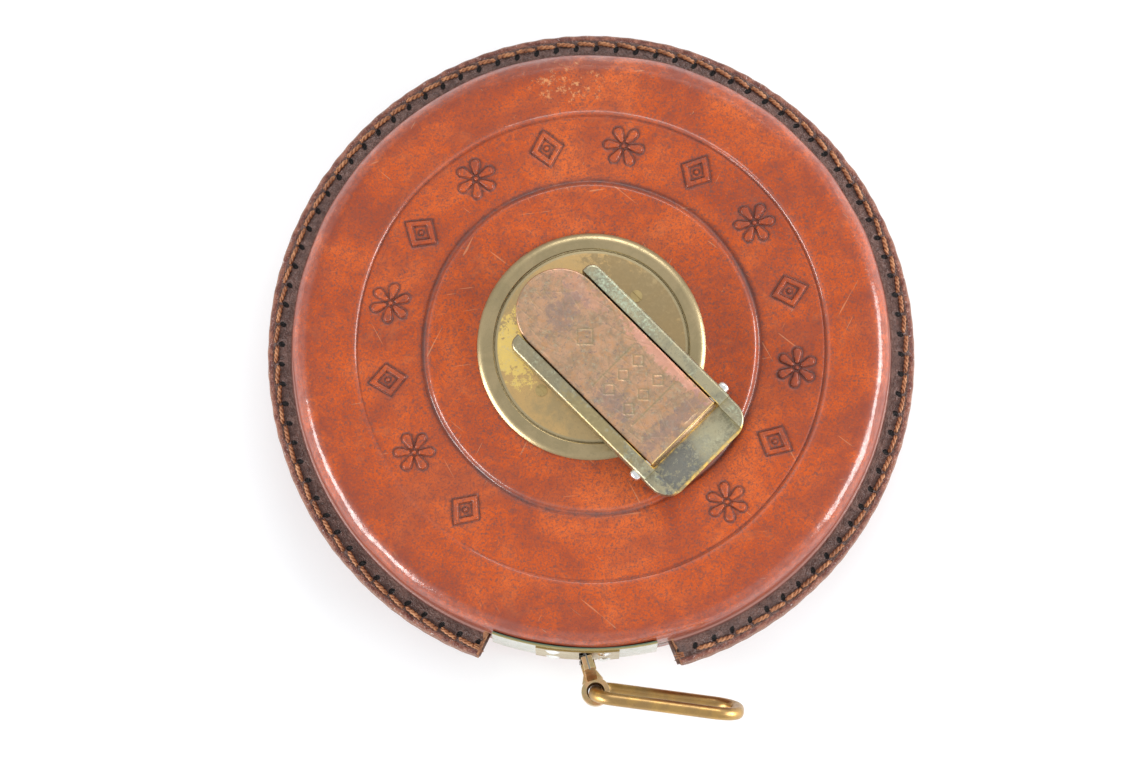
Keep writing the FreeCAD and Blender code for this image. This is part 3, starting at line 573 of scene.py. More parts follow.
def hub_brass(name):
    """Yellow brass, with painted shade over one side and a painted reflection beside the crank's free
    end.
    """
    s = Shader(name)
    base, rough, metallic = old_metal(
        s, (0.72, 0.47, 0.2), (0.5, 0.37, 0.19), (0.22, 0.17, 0.12), 0.28, 0.35, 11
    )
    # Painted shade over the upper side of the disc.
    shaded = s.spot(2, 15, (34, 12), 0.6)
    base = s.tint(base, shaded, 0.8, (0.36, 0.265, 0.14))
    # Painted reflection: a bright orange-gold patch, with light scratches in it.
    bright = s.spot(-11.5, -12.5, (13, 15), 1.2)
    base = s.tint(base, bright, 0.95, (1.0, 0.72, 0.22))
    scratched = s.times(bright, s.between(s.noise(1.1, 6, 0.8), 0.54, 0.62))
    base = s.tint(base, scratched, 0.4, (0.66, 0.58, 0.42))
    # Painted shade: the hub's rim beside the gap to the bezel is darker and less metallic.
    edge = s.between(s.radius(), 20.0 * MM, 20.3 * MM)
    base = s.mix(edge, base, (0.42, 0.34, 0.19))
    metallic = s.minus(metallic, s.times(edge, 0.7))
    return s.finish(base, rough, metallic)


def rail_brass(name):
    """Grey-green film, salts along the far rail, and a yellow rubbed place on the near one."""
    s = Shader(name)
    base, rough, metallic = old_metal(
        s, (0.5, 0.44, 0.28), (0.33, 0.31, 0.22), (0.13, 0.12, 0.1), 0.38, 0.85, 5,
        green=0.55, worn=(0.5, 0.43, 0.25)
    )
    rubbed = s.spot(13, -11.3, (17, 4.5), 1.3)
    base = s.tint(base, rubbed, 0.5, (0.56, 0.42, 0.15))
    bronze = s.times(s.spot(6, -11.5, (44, 5), 1.0), s.noise(2, 6, 0.8))
    base = s.tint(base, bronze, 0.9, (0.26, 0.21, 0.12))
    salts = s.spot(-2, 11.5, (17, 4.5), 1.3)
    speckle = s.between(s.noise(0.9, 6, 0.8), 0.45, 0.58)
    base = s.tint(base, s.times(salts, speckle), 0.7, (0.6, 0.68, 0.5))
    blue = s.spot(31, -4, (9, 12), 1.4)
    base = s.tint(base, blue, 0.65, (0.15, 0.16, 0.18))
    pale = s.spot(32, 4, (7, 10), 1.6)
    base = s.tint(base, pale, 0.5, (0.6, 0.56, 0.37))
    along, across, _ = s.axes(s.on_crank)
    yellow = s.between(along, 34.9 * MM, 35.2 * MM)
    joint = s.between(s.abs(across), 10.0 * MM, 9.85 * MM)
    joint = s.times(joint, s.between(along, 28.6 * MM, 28.2 * MM))
    base = s.tint(base, joint, 0.4, (0.12, 0.1, 0.06))
    joint = s.times(joint, s.between(along, 17.0 * MM, 23.0 * MM))
    yellow = s.times(s.most(yellow, joint), s.ramp(s.noise(1.5, 5, 0.7), (0.4, 0.3), (0.6, 1.0)))
    base = s.tint(base, yellow, 0.9, (0.85, 0.55, 0.12))
    metallic = s.minus(metallic, s.times(yellow, 0.6))
    return s.finish(base, rough, metallic)


def arm_copper(name):
    """Mottled coppery brown with a pink rubbed edge, grey-purple stains and marks from use."""
    s = Shader(name)
    base, rough, metallic = old_metal(
        s, (0.63, 0.375, 0.23), (0.39, 0.27, 0.175), (0.14, 0.115, 0.12), 0.42, 0.9, 3,
        green=0.3, worn=(0.62, 0.44, 0.27)
    )
    rusty = s.between(s.noise(1.7, 7, 0.8, 0.7), 0.5, 0.62)
    base = s.tint(base, rusty, 0.4, (0.62, 0.3, 0.12))
    round_end = s.times(s.spot(-10, 6.3, (14, 4), 1.2), 0.45)
    pink = s.most(s.spot(14, 8.3, (22, 2.6), 1.1), round_end)
    base = s.tint(base, pink, 0.6, (0.86, 0.42, 0.32))
    for along, across, size in ((-9, 1, (8, 9)), (24.5, 0.0, (4, 20)), (12, -6, (9, 5))):
        stain = s.spot(along, across, size, 1.4)
        base = s.tint(base, stain, 0.4, (0.25, 0.19, 0.2))
    base = s.tint(base, s.attribute("dark_marks_and_shade"), 0.8, (0.27, 0.25, 0.14))
    along, _, height = s.axes(s.on_crank)
    end = s.times(s.between(along, 27.2 * MM, 27.4 * MM), s.between(height, 36.1 * MM, 36.35 * MM))
    base = s.tint(base, end, 0.8, (0.62, 0.46, 0.18))
    return s.finish(base, rough, metallic)


def plated_lip(name):
    """White plating worn through to brass along the low and high edges."""
    s = Shader(name)
    base, rough, metallic = old_metal(
        s, (0.55, 0.45, 0.26), (0.44, 0.35, 0.18), (0.26, 0.19, 0.09), 0.3, 0.5, 4,
        green=0.3, worn=(0.5, 0.36, 0.15)
    )
    height = s.axes()[2]
    uneven = s.times(s.minus(s.noise(1.5, 5, 0.7), 0.5), 3 * MM)
    height = s.plus(height, uneven)
    ends = s.most(s.between(height, 7.6 * MM, 6.4 * MM), s.between(height, 23.6 * MM, 24.3 * MM))
    base = s.mix(ends, base, (0.4, 0.27, 0.1))
    return s.finish(base, rough, metallic)


def plated_sheet(name):
    """Nickel plating, with green and brown along its upper edge."""
    s = Shader(name)
    base, rough, metallic = old_metal(
        s, (0.74, 0.74, 0.68), (0.6, 0.61, 0.53), (0.36, 0.38, 0.28), 0.26, 0.5, 4,
        green=0.45, worn=(0.5, 0.45, 0.25)
    )
    height = s.axes()[2]
    uneven = s.times(s.minus(s.noise(1.2, 6, 0.75), 0.5), 2.4 * MM)
    top = s.between(s.plus(height, uneven), 25.0 * MM, 25.8 * MM)
    base = s.mix(top, base, (0.42, 0.36, 0.17))
    teal = s.between(height, 25.8 * MM, 25.95 * MM)
    teal = s.times(teal, s.between(s.radius(), 64.7 * MM, 64.5 * MM))
    base = s.tint(base, teal, 0.8, (0.1, 0.18, 0.15))
    rough = s.plus(rough, s.times(top, 0.3))
    return s.finish(base, rough, metallic)


def wood(name):
    s = Shader(name)
    rings = s.noise(3, 5, 0.6, 0.6, (0, 1.0, 1.0, 12.0))
    base = s.ramp(rings, (0.3, (0.3, 0.16, 0.07)), (0.7, (0.52, 0.33, 0.17)))
    s.bump(rings, 0.1, 0.4)
    return s.finish(base, 0.6)


def gap_shade_colour(name):
    """Crusted olive-brown for the ring in the gap between bezel and hub: painted shade."""
    s = Shader(name)
    crust = s.noise(0.6, 6, 0.75)
    tones = ((0.3, (0.22, 0.17, 0.09)), (0.55, (0.4, 0.33, 0.18)), (0.75, (0.55, 0.5, 0.36)))
    base = s.ramp(crust, *tones)
    s.bump(crust, 0.05, 0.6)
    return s.finish(base, 0.55)


def fibre(name):
    s = Shader(name)
    felt = s.noise(0.4, 5, 0.7)
    s.bump(felt, 0.05, 0.5)
    return s.finish(s.ramp(felt, (0.3, (0.12, 0.03, 0.02)), (0.7, (0.3, 0.1, 0.07))), 0.7)


MAT = {
    "leather": case_leather("case_leather"),
    "raw": raw_leather("raw_leather"),
    "welt": welt_leather("welt_leather"),
    "thread": waxed_thread("waxed_thread"),
    "bezel": aged_metal(
        "bezel_brass", (0.48, 0.375, 0.21), (0.38, 0.305, 0.17), (0.2, 0.17, 0.12), 0.32, 0.4, 7
    ),
    "hub": hub_brass("hub_brass"),
    "rail": rail_brass("rail_brass"),
    "arm": arm_copper("arm_copper"),
    "loop": aged_metal(
        "loop_brass", (0.52, 0.32, 0.11), (0.38, 0.24, 0.1), (0.17, 0.09, 0.04), 0.34, 0.4, 5, grain=0.5
    ),
    "clip": aged_metal(
        "clip_brass", (0.72, 0.42, 0.22), (0.45, 0.36, 0.18), (0.22, 0.15, 0.1), 0.36, 0.4, 3,
        green=0.3, worn=(0.9, 0.74, 0.42)
    ),
    "plate": plated_sheet("worn_plating"),
    "lip": plated_lip("plated_lip"),
    "bright": aged_metal(
        "bright_rivet", (0.92, 0.92, 0.9), (0.75, 0.75, 0.72), (0.42, 0.42, 0.38), 0.2, 0.3, 6
    ),
    "inner": aged_metal(
        "inner_brass", (0.6, 0.45, 0.2), (0.45, 0.34, 0.16), (0.2, 0.15, 0.09), 0.35, 0.45, 6
    ),
    "steel": aged_metal(
        "spindle_steel", (0.55, 0.55, 0.54), (0.4, 0.4, 0.4), (0.2, 0.18, 0.16), 0.3, 0.45, 6
    ),
    "tape": aged_metal(
        "tape_steel", (0.32, 0.31, 0.29), (0.2, 0.19, 0.18), (0.14, 0.08, 0.05), 0.38, 0.45, 6
    ),
    # The groove ring's colour, painted shade in the gap between bezel and hub.
    "polish": gap_shade_colour("gap_shade_colour"),
    "wood": wood("core_wood"),
    "fibre": fibre("washer_fibre"),
}

# Which material each carried-over CAD node gets
CAD_MATERIALS = {
    "bezel": ("bezel", "back_boss"),
    "inner": (
        "bezel_clinch_ring", "back_boss_washer", "back_boss_rivets", "mouth_frame", "hub_screws",
        "front_flange", "back_flange", "flange_screws", "tape_anchor", "base_rivets", "knob_stud",
        "clip_rivets",
    ),
    "fibre": ("thrust_washer",),
    "plate": ("mouth_plate",),
    "lip": ("mouth_lip",),
    "steel": ("guide_pins", "spindle"),
    "bright": ("mouth_rivets", "hinge_pin"),
    "hub": ("hub_disc", "finger_knob"),
    "wood": ("drum_core",),
    "tape": ("tape_coil", "tape_lead"),
    "rail": ("crank_base",),
    "clip": ("end_clip",),
    "loop": ("finger_loop",),
}


def dress_cad_nodes():
    for key, nodes in CAD_MATERIALS.items():
        for node in nodes:
            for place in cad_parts[node].material_slots:
                place.material = MAT[key]


# ---- leather case


def rim_section(centre):
    """What both halves share: the shoulder round centre, the wall and the flange's outside."""
    top = SEAM_HIGH + LEATHER
    fold = 1.2 * MM
    corner = 0.8 * MM
    points = arc(centre, EDGE_R, 90, 0, 12)
    points += line((WALL_R, centre[1]), (WALL_R, top + fold), 3)
    points += arc((WALL_R + fold, top + fold), fold, 180, 270, 4)
    points += line((WALL_R + fold, top), (FLANGE_R - corner, top), 11)
    points += arc((FLANGE_R - corner, top - corner), corner, 90, 0, 3)
    points += line((FLANGE_R, top - corner), (FLANGE_R - 0.1 * MM, SEAM_HIGH + 0.3 * MM), 2)
    return points + line((FLANGE_R - 0.4 * MM, SEAM_HIGH), (WALL_R, SEAM_HIGH), 3)


def profile_front():
    """The section of the front half as (r, z) points: hub hole, face, wall, flange and back inside."""
    inner_top = BAND_Z - LEATHER
    centre = (WALL_R - EDGE_R, BAND_Z - EDGE_R)
    points = line((HOLE_R, PLATEAU_Z), (STEP_FROM, PLATEAU_Z), 7)
    points += line((STEP_FROM, PLATEAU_Z), (STEP_TO, BAND_Z), 12)
    points += line((STEP_TO, BAND_Z), (BAND_FROM, BAND_Z), 4)
    points += line((BAND_FROM, BAND_Z), (CREASE_FROM, BAND_Z), 27)
    points += line((CREASE_FROM, BAND_Z), (CREASE_TO, BAND_Z), 11)
    points += line((CREASE_TO, BAND_Z), (FACE_R, BAND_Z), 7)
    points += rim_section(centre)
    points += line((WALL_R - LEATHER, SEAM_HIGH), (WALL_R - LEATHER, centre[1]), 1)
    points += arc(centre, EDGE_R - LEATHER, 0, 90, 3)
    points += [
        (centre[0], inner_top),
        (PLATEAU_R, inner_top),
        (PLATEAU_R - 1.2 * MM, inner_top + RISE),
        (HOLE_R, inner_top + RISE),
    ]
    return points


def ornament(a, b, rosette):
    """Signed distance into the lines of an ornament; a and b are places across and outwards from it."""
    reach = np.hypot(a, b)
    if rosette:
        fold = ((np.arctan2(b, a) / PETAL + 0.5) % 1 - 0.5) * PETAL
        along = reach * np.cos(fold)
        past_end = np.maximum(np.abs(along - PETAL_AT) - PETAL_HALF, 0)
        lines = np.hypot(past_end, reach * np.sin(fold)) - PETAL_R - PETAL_GROWTH * along
    else:
        wide, tall = LOZENGE
        outline = (np.abs(a) * tall + np.abs(b) * wide - wide * tall) / math.hypot(wide, tall)
        lines = np.abs(outline + LINE_HALF) - LINE_HALF
    return np.minimum(lines, reach - DOT_R)


def embossing(radius, angle):
    """Height and darkness of the ring of ornaments: raised lines with a groove on both sides, the
    grooves darkened as painted shade.
    """
    height = np.zeros_like(radius)
    dark = np.zeros_like(radius)
    for k in range(MOTIFS):
        away = turn_from(MOTIF_FIRST + k * MOTIF_STEP, angle)
        a = away * radius
        b = radius - MOTIF_R
        near = (np.abs(a) < 6 * MM) & (np.abs(b) < 6 * MM)
        distance = ornament(a[near], b[near], k % 2 == 0)
        raised = 1 - smooth_step(distance, -0.3 * MM, 0.12 * MM)
        groove = hump(distance - 0.2 * MM, 0.2 * MM)
        sunk = 1 - smooth_step(np.hypot(a[near], b[near]), 3.4 * MM, 4.6 * MM)
        height[near] += MM * (0.34 * raised - 0.32 * groove - 0.1 * sunk)
        # Painted shade in the grooves beside the raised lines, and, lighter, in the hollow round each
        # ornament.
        dark[near] = np.maximum(dark[near], 0.35 * groove + 0.1 * sunk)
    return height, dark


def on_step(radius):
    return (radius > STEP_FROM - 0.1 * MM) & (radius < STEP_TO)


def face_relief(radius, angle):
    """Every raised or sunk detail of the front's face, as (height, darkness, polish). The darkness is
    painted shade: in the crease, at the foot of the plateau's step, round the bezel and in the
    ornaments' grooves.
    """
    x = radius * np.cos(angle)
    y = radius * np.sin(angle)
    height = 0.14 * MM * waves(11, 14, 60 * MM, 18 * MM)(x, y)
    height += 0.03 * MM * waves(12, 20, 12 * MM, 4 * MM)(x, y)
    wander = 0.12 * MM * waves(14, 10, 45 * MM, 12 * MM)(x, y)
    step = smooth_step(radius + wander, 34.9 * MM, 35.85 * MM)
    height -= RISE * step * on_step(radius)
    height -= 0.38 * MM * hump(radius + wander - 36.15 * MM, 0.42 * MM)
    crease = (radius + wander * 0.4 - CREASE_R) / MM
    away = turn_from(math.radians(-140), angle)
    plain = 1 - 0.8 * hump(away, math.radians(42))
    line = 0.22 * hump(crease - 0.6, 0.3) - 0.42 * hump(crease, 0.3)
    height += MM * line * plain
    patchy = np.clip(0.8 + 0.3 * waves(13, 12, 30 * MM, 5 * MM)(x, y), 0, 1.2)
    # Painted shade: a dark line in the crease's groove, fading where the crease fades.
    dark = 0.45 * plain * hump(crease, 0.3)
    # Painted shadow in the groove at the foot of the plateau's step.
    dark += 0.95 * hump(radius + wander - 36.0 * MM, 0.7 * MM)
    # Painted shade in a ring just outside the bezel's edge.
    dark += 0.35 * hump(radius - 25.0 * MM, 0.6 * MM)
    ridge = plain * hump(crease - 0.6, 0.35)
    ridge += hump(radius + wander - 35.4 * MM, 0.5 * MM)
    marks, mark_dark = embossing(radius, angle)
    return height + marks, np.clip(dark * patchy + mark_dark, 0, 1), ridge


def in_gap(angle):
    turn = (angle - GAP_FROM) % (2 * math.pi)
    return turn < GAP_TO - GAP_FROM


def shell_mesh(name, section, relief, flip):
    """Turns a section into a shell, opens it at the mouth, and adds the hand-made unevenness."""
    angle = 2 * math.pi * (np.arange(COLUMNS) + 0.5) / COLUMNS - math.pi / 2
    radius = np.repeat(np.array([p[0] for p in section])[:, None], COLUMNS, 1)
    height = np.repeat(np.array([p[1] for p in section])[:, None], COLUMNS, 1)
    theta = np.repeat(angle[None, :], len(section), 0)
    level = SEAM_HIGH + LEATHER
    x, y = radius * np.cos(theta), radius * np.sin(theta)
    wall = (radius > WALL_R - 1.6 * MM) & (radius < WALL_R + 0.01 * MM) & (height > level + 1.5 * MM)
    on_face = (height > BAND_Z - 0.01 * MM) & (radius < WALL_R - EDGE_R + 0.01 * MM)
    dark = ridge = np.zeros_like(radius)
    if relief:
        lift, shade, polish = face_relief(radius, theta)
        fade = 1 - smooth_step(radius, 55 * MM, 59 * MM)
        lift = lift * np.where(radius > CREASE_TO, fade, 1)
        height = np.where(on_face & on_step(radius), PLATEAU_Z, height)
        height = np.where(on_face, height + lift, height)
        dark, ridge = np.where(on_face, shade, 0), np.where(on_face, polish, 0)
    flange = (radius > WALL_R + 0.02 * MM) & (height < level + 1.3 * MM)
    top_side = flange & (height > SEAM_HIGH + 1.0 * MM)
    stitch_wave = (1 + np.cos(theta / PITCH * 2 * math.pi)) / 2
    ripple = waves(21, 18, 22 * MM, 4 * MM)(x, y)
    outer = smooth_step(radius, STITCH_R - 0.2 * MM, FLANGE_R - 0.4 * MM)
    trough = hump(radius - STITCH_R, 0.85 * MM)
    dip = -0.3 * MM * trough + outer * (0.12 * MM * ripple - 0.16 * MM * stitch_wave)
    height = np.where(top_side, height + dip - 0.02 * MM, height)
    drawn_in = 0.08 * MM * stitch_wave + 0.07 * MM * np.abs(ripple)
    radius = radius - np.where(flange, outer * drawn_in, 0)
    radius = radius + np.where(wall, 0.1 * MM * waves(23, 12, 50 * MM, 12 * MM)(x, y), 0)
    folded = flange & in_gap(theta)
    ragged = 0.006 * waves(22, 9, 2.6 * MM, 0.9 * MM)(height * 3, radius)
    for end in (GAP_FROM, GAP_TO):
        away = turn_from(end, angle)
        theta = theta + np.where(flange, ragged * hump(away, 0.02), 0)
    height[folded] = np.minimum(height[folded], level + 1.2 * MM)
    radius[folded] = WALL_R
    low = height < WINDOW_TOP
    window = low & (np.abs(turn_from(WINDOW_AT, theta)) < WINDOW_HALF)
    height[window] = WINDOW_TOP
    points = around(radius, theta, height).reshape(-1, 3)
    faces = grid_faces(len(section), COLUMNS)
    if flip:
        points[:, 2] = SEAM_HIGH + SEAM_LOW - points[:, 2]
        faces = [f[::-1] for f in faces]
    obj = mesh_object(name, points, faces, [MAT["leather"], MAT["raw"]])
    decorated = on_face & (relief & (radius > PLATEAU_R) & (radius < CREASE_R))
    # The darkness marked on the leather is painted shade in its grooves, crease and step.
    for label, values in (("dark_marks_and_shade", dark), ("ridge", ridge), ("face", decorated)):
        mark_points(obj, label, values)
    cut = (folded | window).reshape(-1)
    ends = [int(any(cut[v] for v in f) and not all(cut[v] for v in f)) for f in faces]
    obj.data.polygons.foreach_set("material_index", ends)
    return obj


def profile_back():
    """The back half's section, as if it were a front half, because it is turned over afterwards."""
    inner_top = BAND_Z - LEATHER
    boss_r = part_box("back_boss")[1][0] + 0.1 * MM
    sunk = 1.3 * MM
    centre = (WALL_R - EDGE_R, BAND_Z - EDGE_R)
    points = [(BACK_HOLE_R, BAND_Z - sunk), (boss_r, BAND_Z - sunk), (boss_r, BAND_Z - 0.3 * MM)]
    points += line((boss_r + 0.3 * MM, BAND_Z), (FACE_R, BAND_Z), 16)
    points += rim_section(centre)
    points += [(WALL_R - LEATHER, SEAM_HIGH), (WALL_R - LEATHER, centre[1])]
    points += arc(centre, EDGE_R - LEATHER, 0, 90, 3)
    points += [(centre[0], inner_top), (boss_r + 2.4 * MM, inner_top)]
    points += [(boss_r + 1.2 * MM, inner_top - sunk), (BACK_HOLE_R, inner_top - sunk)]
    return points


def leather_case():
    front = shell_mesh("leather_front", profile_front(), True, False)
    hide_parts("front_shell")
    back = shell_mesh("leather_back", profile_back(), False, True)
    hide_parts("back_shell")
    for obj in (front, back):
        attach(obj, "case")


def welt():
    """The filler between the flanges: layered, uneven, and only as wide as the wall at the mouth."""
    low, high = SEAM_LOW, SEAM_HIGH
    steps = 640
    start, stop = WINDOW_AT + WINDOW_HALF, WINDOW_AT - WINDOW_HALF + 2 * math.pi
    angles = np.linspace(start, stop, steps)
    uneven = waves(31, 16, 30 * MM, 3 * MM)(np.cos(angles) * FLANGE_R, np.sin(angles) * FLANGE_R)
    rim = FLANGE_R - 0.35 * MM + 0.14 * MM * uneven
    rim = np.where(in_gap(angles + 0.01) & in_gap(angles - 0.01), WALL_R - 0.05 * MM, rim)
    inner = np.full(steps, WALL_R - LEATHER)
    edge = rim - 0.2 * MM
    section = [(inner, low), (edge, low), (rim, (low + high) / 2), (edge, high), (inner, high)]
    points = [around(r, angles, np.full(steps, z)) for r, z in section]
    rows = len(section)
    faces = grid_faces(rows, steps, True, False)
    faces.append(tuple(i * steps for i in range(rows)))
    faces.append(tuple(i * steps + steps - 1 for i in reversed(range(rows))))
    obj = mesh_object("welt_strip", np.concatenate(points), faces, [MAT["welt"]])
    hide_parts("seam_welt")
    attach(obj, "case")


def add_strand(points, faces, path, radii, sides=7):
    """A closed round strand along a path of 3-D points."""
    start = len(points)
    side_way = Vector((0, 0, 1))
    count = len(path)
    for i, centre in enumerate(path):
        ahead = (path[min(i + 1, count - 1)] - path[max(i - 1, 0)]).normalized()
        across = ahead.cross(side_way).normalized()
        up = across.cross(ahead)
        for j in range(sides):
            a = 2 * math.pi * j / sides
            points.append(centre + (across * math.cos(a) + up * math.sin(a)) * radii[i])
    faces += [tuple(v + start for v in f) for f in grid_faces(count, sides, wrap_rows=False)]
    faces.append(tuple(reversed(range(start, start + sides))))
    faces.append(tuple(range(len(points) - sides, len(points))))


def seam_place(angle, out, up):
    return Vector((out * math.cos(angle), out * math.sin(angle), up))


def stitch_run(name, level, side, node):
    """Two-ply waxed thread, one raised stitch from each awl hole to the next, and loose ends."""
    rng = random.Random(41 + side)
    rings = 15
    points, faces = [], []
    for k in range(STITCHES):
        centre = (k + 0.5) * PITCH
        if in_gap(centre - 0.62 * PITCH) or in_gap(centre + 0.62 * PITCH):
            continue
        slant = math.radians(6 + rng.uniform(-3, 3))
        half = PITCH * STITCH_R / 2 * rng.uniform(0.8, 0.92)
        rise = 0.5 * MM * rng.uniform(0.85, 1.2)
        spin = rng.uniform(0, math.pi)
        shift = rng.uniform(-0.12, 0.12) * MM
        thick = rng.uniform(0.92, 1.1)
        for ply in (0, 1):
            path, radii = [], []
            for i in range(rings):
                u = 2 * i / (rings - 1) - 1
                turn = spin + math.pi * ply + 1.9 * math.pi * u
                out = shift + u * half * math.sin(slant) + 0.24 * MM * math.cos(turn)
                up = rise * (1 - abs(u) ** 3.4) - 0.34 * MM + 0.14 * MM * math.sin(turn)
                angle = centre + u * half * math.cos(slant) / STITCH_R
                path.append(seam_place(angle, STITCH_R + out, level + side * up))
                radii.append(0.29 * MM * thick * (1 - 0.4 * abs(u) ** 4))
            add_strand(points, faces, path, radii)
    for end, way in ((GAP_FROM, -1), (GAP_TO, 1)):
        for k in range(3):
            lean = rng.uniform(-0.5, 0.9) * MM
            reach = rng.uniform(1.2, 2.4) * MM
            path = []
            for i in range(7):
                u = i / 6
                angle = end + way * (1.4 * MM - reach * u) / STITCH_R
                drop = 0.35 * MM - 0.9 * MM * u * u * rng.uniform(0.9, 1.1)
                out = STITCH_R + (k - 1) * 0.35 * MM + lean * u * u
                path.append(seam_place(angle, out, level + side * drop))
            add_strand(points, faces, path, [0.2 * MM - 0.018 * MM * i for i in range(7)], 6)
    obj = mesh_object(name, points, faces, [MAT["thread"]])
    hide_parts(node)
    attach(obj, "case")


def groove_shade_ring():
    """A darkish ring that fills the foot of the step between bezel and hub, just clear of the hub: a
    sheet standing for the shade in the gap.
    """
    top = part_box("bezel")[1][2]
    angles = 2 * math.pi * np.arange(GROOVE_STEPS) / GROOVE_STEPS
    uneven = waves(51, 16, 9 * MM, 1.5 * MM)(np.cos(angles) * GROOVE_R, np.sin(angles) * GROOVE_R)
    section = [(-0.21, 0.6, 0.0), (0.0, 0.3, 0.06), (0.0, 0.75, 0.0), (-0.03, 0.78, 0.0)]
    points = []
    for inward, below, share in section:
        level = top - below * MM + share * MM * uneven
        points.append(around(GROOVE_R + inward * MM, angles, level))
    faces = grid_faces(len(section), GROOVE_STEPS)
    obj = mesh_object("groove_shade_ring", np.concatenate(points), faces, [MAT["polish"]])
    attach(obj, "case")


# ---- crank arm


def crank_place(s, t, z):
    c, n = math.cos(CRANK_TURN), math.sin(CRANK_TURN)
    return np.stack([c * s - n * t, n * s + c * t, z], -1)


def arm_grid(inset, rows, columns):
    """Places over the arm's plan, drawn in from its edge by inset: rows along s, columns across t."""
    half = ARM_HALF - inset
    nose = ARM_ROUND_S - half
    bend = rows // 3
    turn = np.linspace(0, math.pi / 2, bend, endpoint=False)
    run = np.linspace(ARM_ROUND_S, ARM_END_S - inset, rows - bend)
    s = np.concatenate([ARM_ROUND_S - half * np.cos(turn), run])
    reach = np.concatenate([half * np.sin(turn), np.full(rows - bend, half)])
    reach[0] = half * 0.004
    s[0] = nose
    t = np.linspace(-1, 1, columns)
    return np.repeat(s[:, None], columns, 1), reach[:, None] * t[None, :]


def arm_relief(s, t):
    """Dents, scratches, and punched lozenges with two ruled lines."""
    height = 0.06 * MM * waves(51, 16, 26 * MM, 7 * MM)(s, t)
    height += 0.018 * MM * waves(52, 20, 6 * MM, 2 * MM)(s, t)
    dark = np.zeros_like(s)
    rng = random.Random(57)
    for _ in range(ARM_SCRATCHES):
        middle = (rng.uniform(-16, 25) * MM, rng.uniform(-8, 8) * MM)
        turn = rng.gauss(0.15, 0.5)
        length = rng.uniform(0.6, 4.5) * MM
        a = (s - middle[0]) * math.cos(turn) + (t - middle[1]) * math.sin(turn)
        b = (t - middle[1]) * math.cos(turn) - (s - middle[0]) * math.sin(turn)
        cut = hump(b, 0.13 * MM) * (1 - smooth_step(np.abs(a), length * 0.6, length))
        height -= 0.035 * MM * cut
        dark = np.maximum(dark, 0.3 * cut)
    punch = np.full_like(s, 1.0)
    for place, across, size in ARM_MARKS:
        reach = np.abs(s - place * MM) + np.abs(t - across * MM)
        punch = np.minimum(punch, np.abs(reach - size * MM) * 0.7)
    for place in ARM_RULES:
        punch = np.minimum(punch, np.maximum(np.abs(s - place * MM) - 0.05 * MM, np.abs(t) - 6.3 * MM))
    edge = hump(np.maximum(punch, 0), 0.19 * MM)
    height -= 0.1 * MM * edge
    return height, np.maximum(dark, 0.6 * edge)


def grid_rim(rows, columns):
    """Indices of a grid's boundary, once round."""
    rim = list(range(columns))
    rim += [i * columns + columns - 1 for i in range(1, rows)]
    rim += [(rows - 1) * columns + j for j in range(columns - 2, -1, -1)]
    rim += [i * columns for i in range(rows - 2, 0, -1)]
    return rim


def crank_arm():
    rows, columns = 300, 144
    fillet = 0.45 * MM
    s, t = arm_grid(fillet, rows, columns)
    lift, dark = arm_relief(s, t)
    inward = np.minimum(ARM_HALF - np.abs(t), ARM_END_S - s)
    round_edge = np.where(s < ARM_ROUND_S, ARM_HALF - np.hypot(s - ARM_ROUND_S, t), inward)
    lift = lift * smooth_step(round_edge, 0.45 * MM, 1.0 * MM)
    points = crank_place(s, t, ARM_TOP - 0.02 * MM + lift).reshape(-1, 3)
    faces = grid_faces(rows, columns, False, False)
    rim = grid_rim(rows, columns)
    loops = [rim]
    total = [points]
    count = len(points)
    levels = []
    for a in (0.4, 0.8, 1.2, 1.5708):
        levels.append((fillet * (1 - math.sin(a)), ARM_TOP - fillet * (1 - math.cos(a))))
    levels += [(0.0, ARM_LOW), (1.0 * MM, ARM_LOW), (1.0 * MM, ARM_TOP - 1.1 * MM)]
    for inset, z in levels:
        ls, lt = arm_grid(inset, rows, columns)
        places = crank_place(ls, lt, np.full_like(ls, z)).reshape(-1, 3)[rim]
        total.append(places)
        loops.append(list(range(count, count + len(rim))))
        count += len(rim)
    for above, below in zip(loops, loops[1:]):
        for k in range(len(rim)):
            n = (k + 1) % len(rim)
            faces.append((above[n], above[k], below[k], below[n]))
    faces.append(tuple(reversed(loops[-1])))
    shade = list(dark.reshape(-1)) + [0.0] * (count - len(points))
    points = np.concatenate(total)
    sides = 40
    barrel = []
    a = 2 * math.pi * np.arange(sides) / sides
    for side, radius in ((-1, KNUCKLE_BORE), (-1, KNUCKLE_R), (1, KNUCKLE_R), (1, KNUCKLE_BORE)):
        across = np.full(sides, side * KNUCKLE_HALF)
        barrel.append(crank_place(PIN_S + radius * np.cos(a), across, PIN_Z + radius * np.sin(a)))
    faces += [tuple(v + count for v in f) for f in grid_faces(4, sides)]
    points = np.concatenate([points] + barrel)
    shade += [0.3] * (4 * sides)
    obj = mesh_object("stamped_arm", points, faces, [MAT["arm"]])
    mark_points(obj, "dark_marks_and_shade", np.array(shade[: len(obj.data.vertices)]))
    clean(obj)
    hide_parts("crank_arm")
    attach(obj, "crank")


def clean(obj):
    """Joins points that lie on each other and turns every face outwards."""
    work = bmesh.new()
    work.from_mesh(obj.data)
    bmesh.ops.remove_doubles(work, verts=work.verts, dist=0.0005 * MM)
    bmesh.ops.recalc_face_normals(work, faces=work.faces)
    work.to_mesh(obj.data)
    work.free()


# ---- camera, light and floor


def look_at(obj, target):
    obj.rotation_euler = (Vector(target) - obj.location).to_track_quat("-Z", "Y").to_euler()


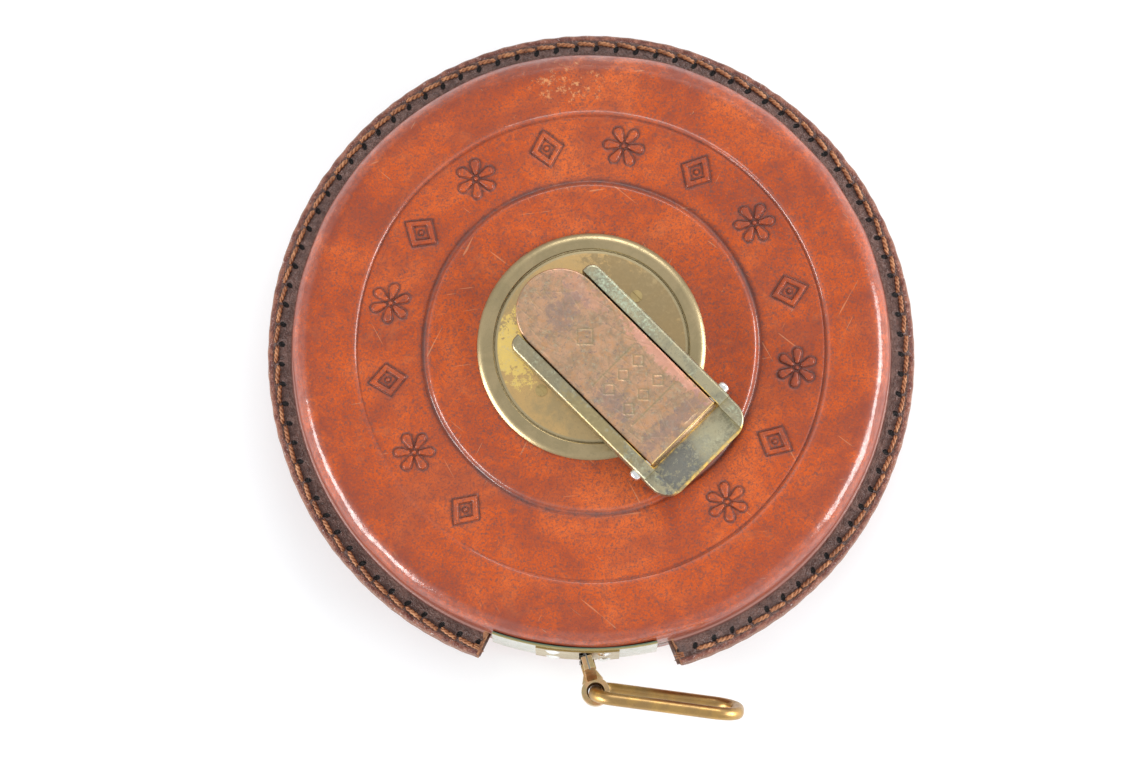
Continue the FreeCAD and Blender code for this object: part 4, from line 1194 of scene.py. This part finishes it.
SENSOR = 36.0
WORLD_LIGHT = 0.78
FLOOR_GLOW = 0.32


def camera():
    data = bpy.data.cameras.new("camera")
    distance = 1.4
    tilt = math.radians(83.0)
    frame_width = 246.3 * MM
    aim = Vector((-4.6 * MM, -5.47 * MM, 18 * MM))
    data.sensor_width = SENSOR
    data.lens = SENSOR * distance / frame_width
    obj = link("camera", data)
    obj.location = aim + Vector((0, -math.cos(tilt), math.sin(tilt))) * distance
    look_at(obj, aim)
    bpy.context.scene.camera = obj


def softbox(name, place, size, power, target=(0, 0, 0.02)):
    data = bpy.data.lights.new(name, "AREA")
    data.shape = "RECTANGLE"
    data.size, data.size_y = size
    data.energy = power
    obj = link(name, data)
    obj.location = place
    look_at(obj, target)


def studio():
    world = bpy.data.worlds.new("studio")
    world.use_nodes = True
    sky = world.node_tree.nodes["Background"].inputs
    sky["Color"].default_value = (0.97, 0.985, 1.0, 1)
    sky["Strength"].default_value = WORLD_LIGHT
    bpy.context.scene.world = world
    bpy.context.scene.view_settings.view_transform = "Standard"
    softbox("left_box", (-0.8, -0.42, 0.3), (0.7, 0.3), 8.7)
    softbox("right_box", (0.9, -0.1, 0.34), (0.8, 0.36), 11.0)
    softbox("back_box", (0.15, 0.85, 0.8), (0.8, 0.3), 4.5)
    mat = Shader("paper_floor")
    tone = mat.ramp(mat.noise(50, 3), (0.3, (0.61, 0.62, 0.63)), (0.7, (0.63, 0.64, 0.65)))
    mat.bsdf.inputs["Emission Color"].default_value = (1, 1, 1, 1)
    mat.bsdf.inputs["Emission Strength"].default_value = FLOOR_GLOW
    surface = mat.finish(tone, 0.9)
    half = 2.5
    corners = [(-half, -half, 0), (half, -half, 0), (half, half, 0), (-half, half, 0)]
    mesh_object("paper", corners, [(0, 1, 2, 3)], [surface])


camera()
studio()
dress_cad_nodes()
leather_case()
welt()
stitch_run("thread_front", STITCH_TOP, 1, "front_stitches")
stitch_run("thread_back", STITCH_LOW, -1, "back_stitches")
crank_arm()
groove_shade_ring()
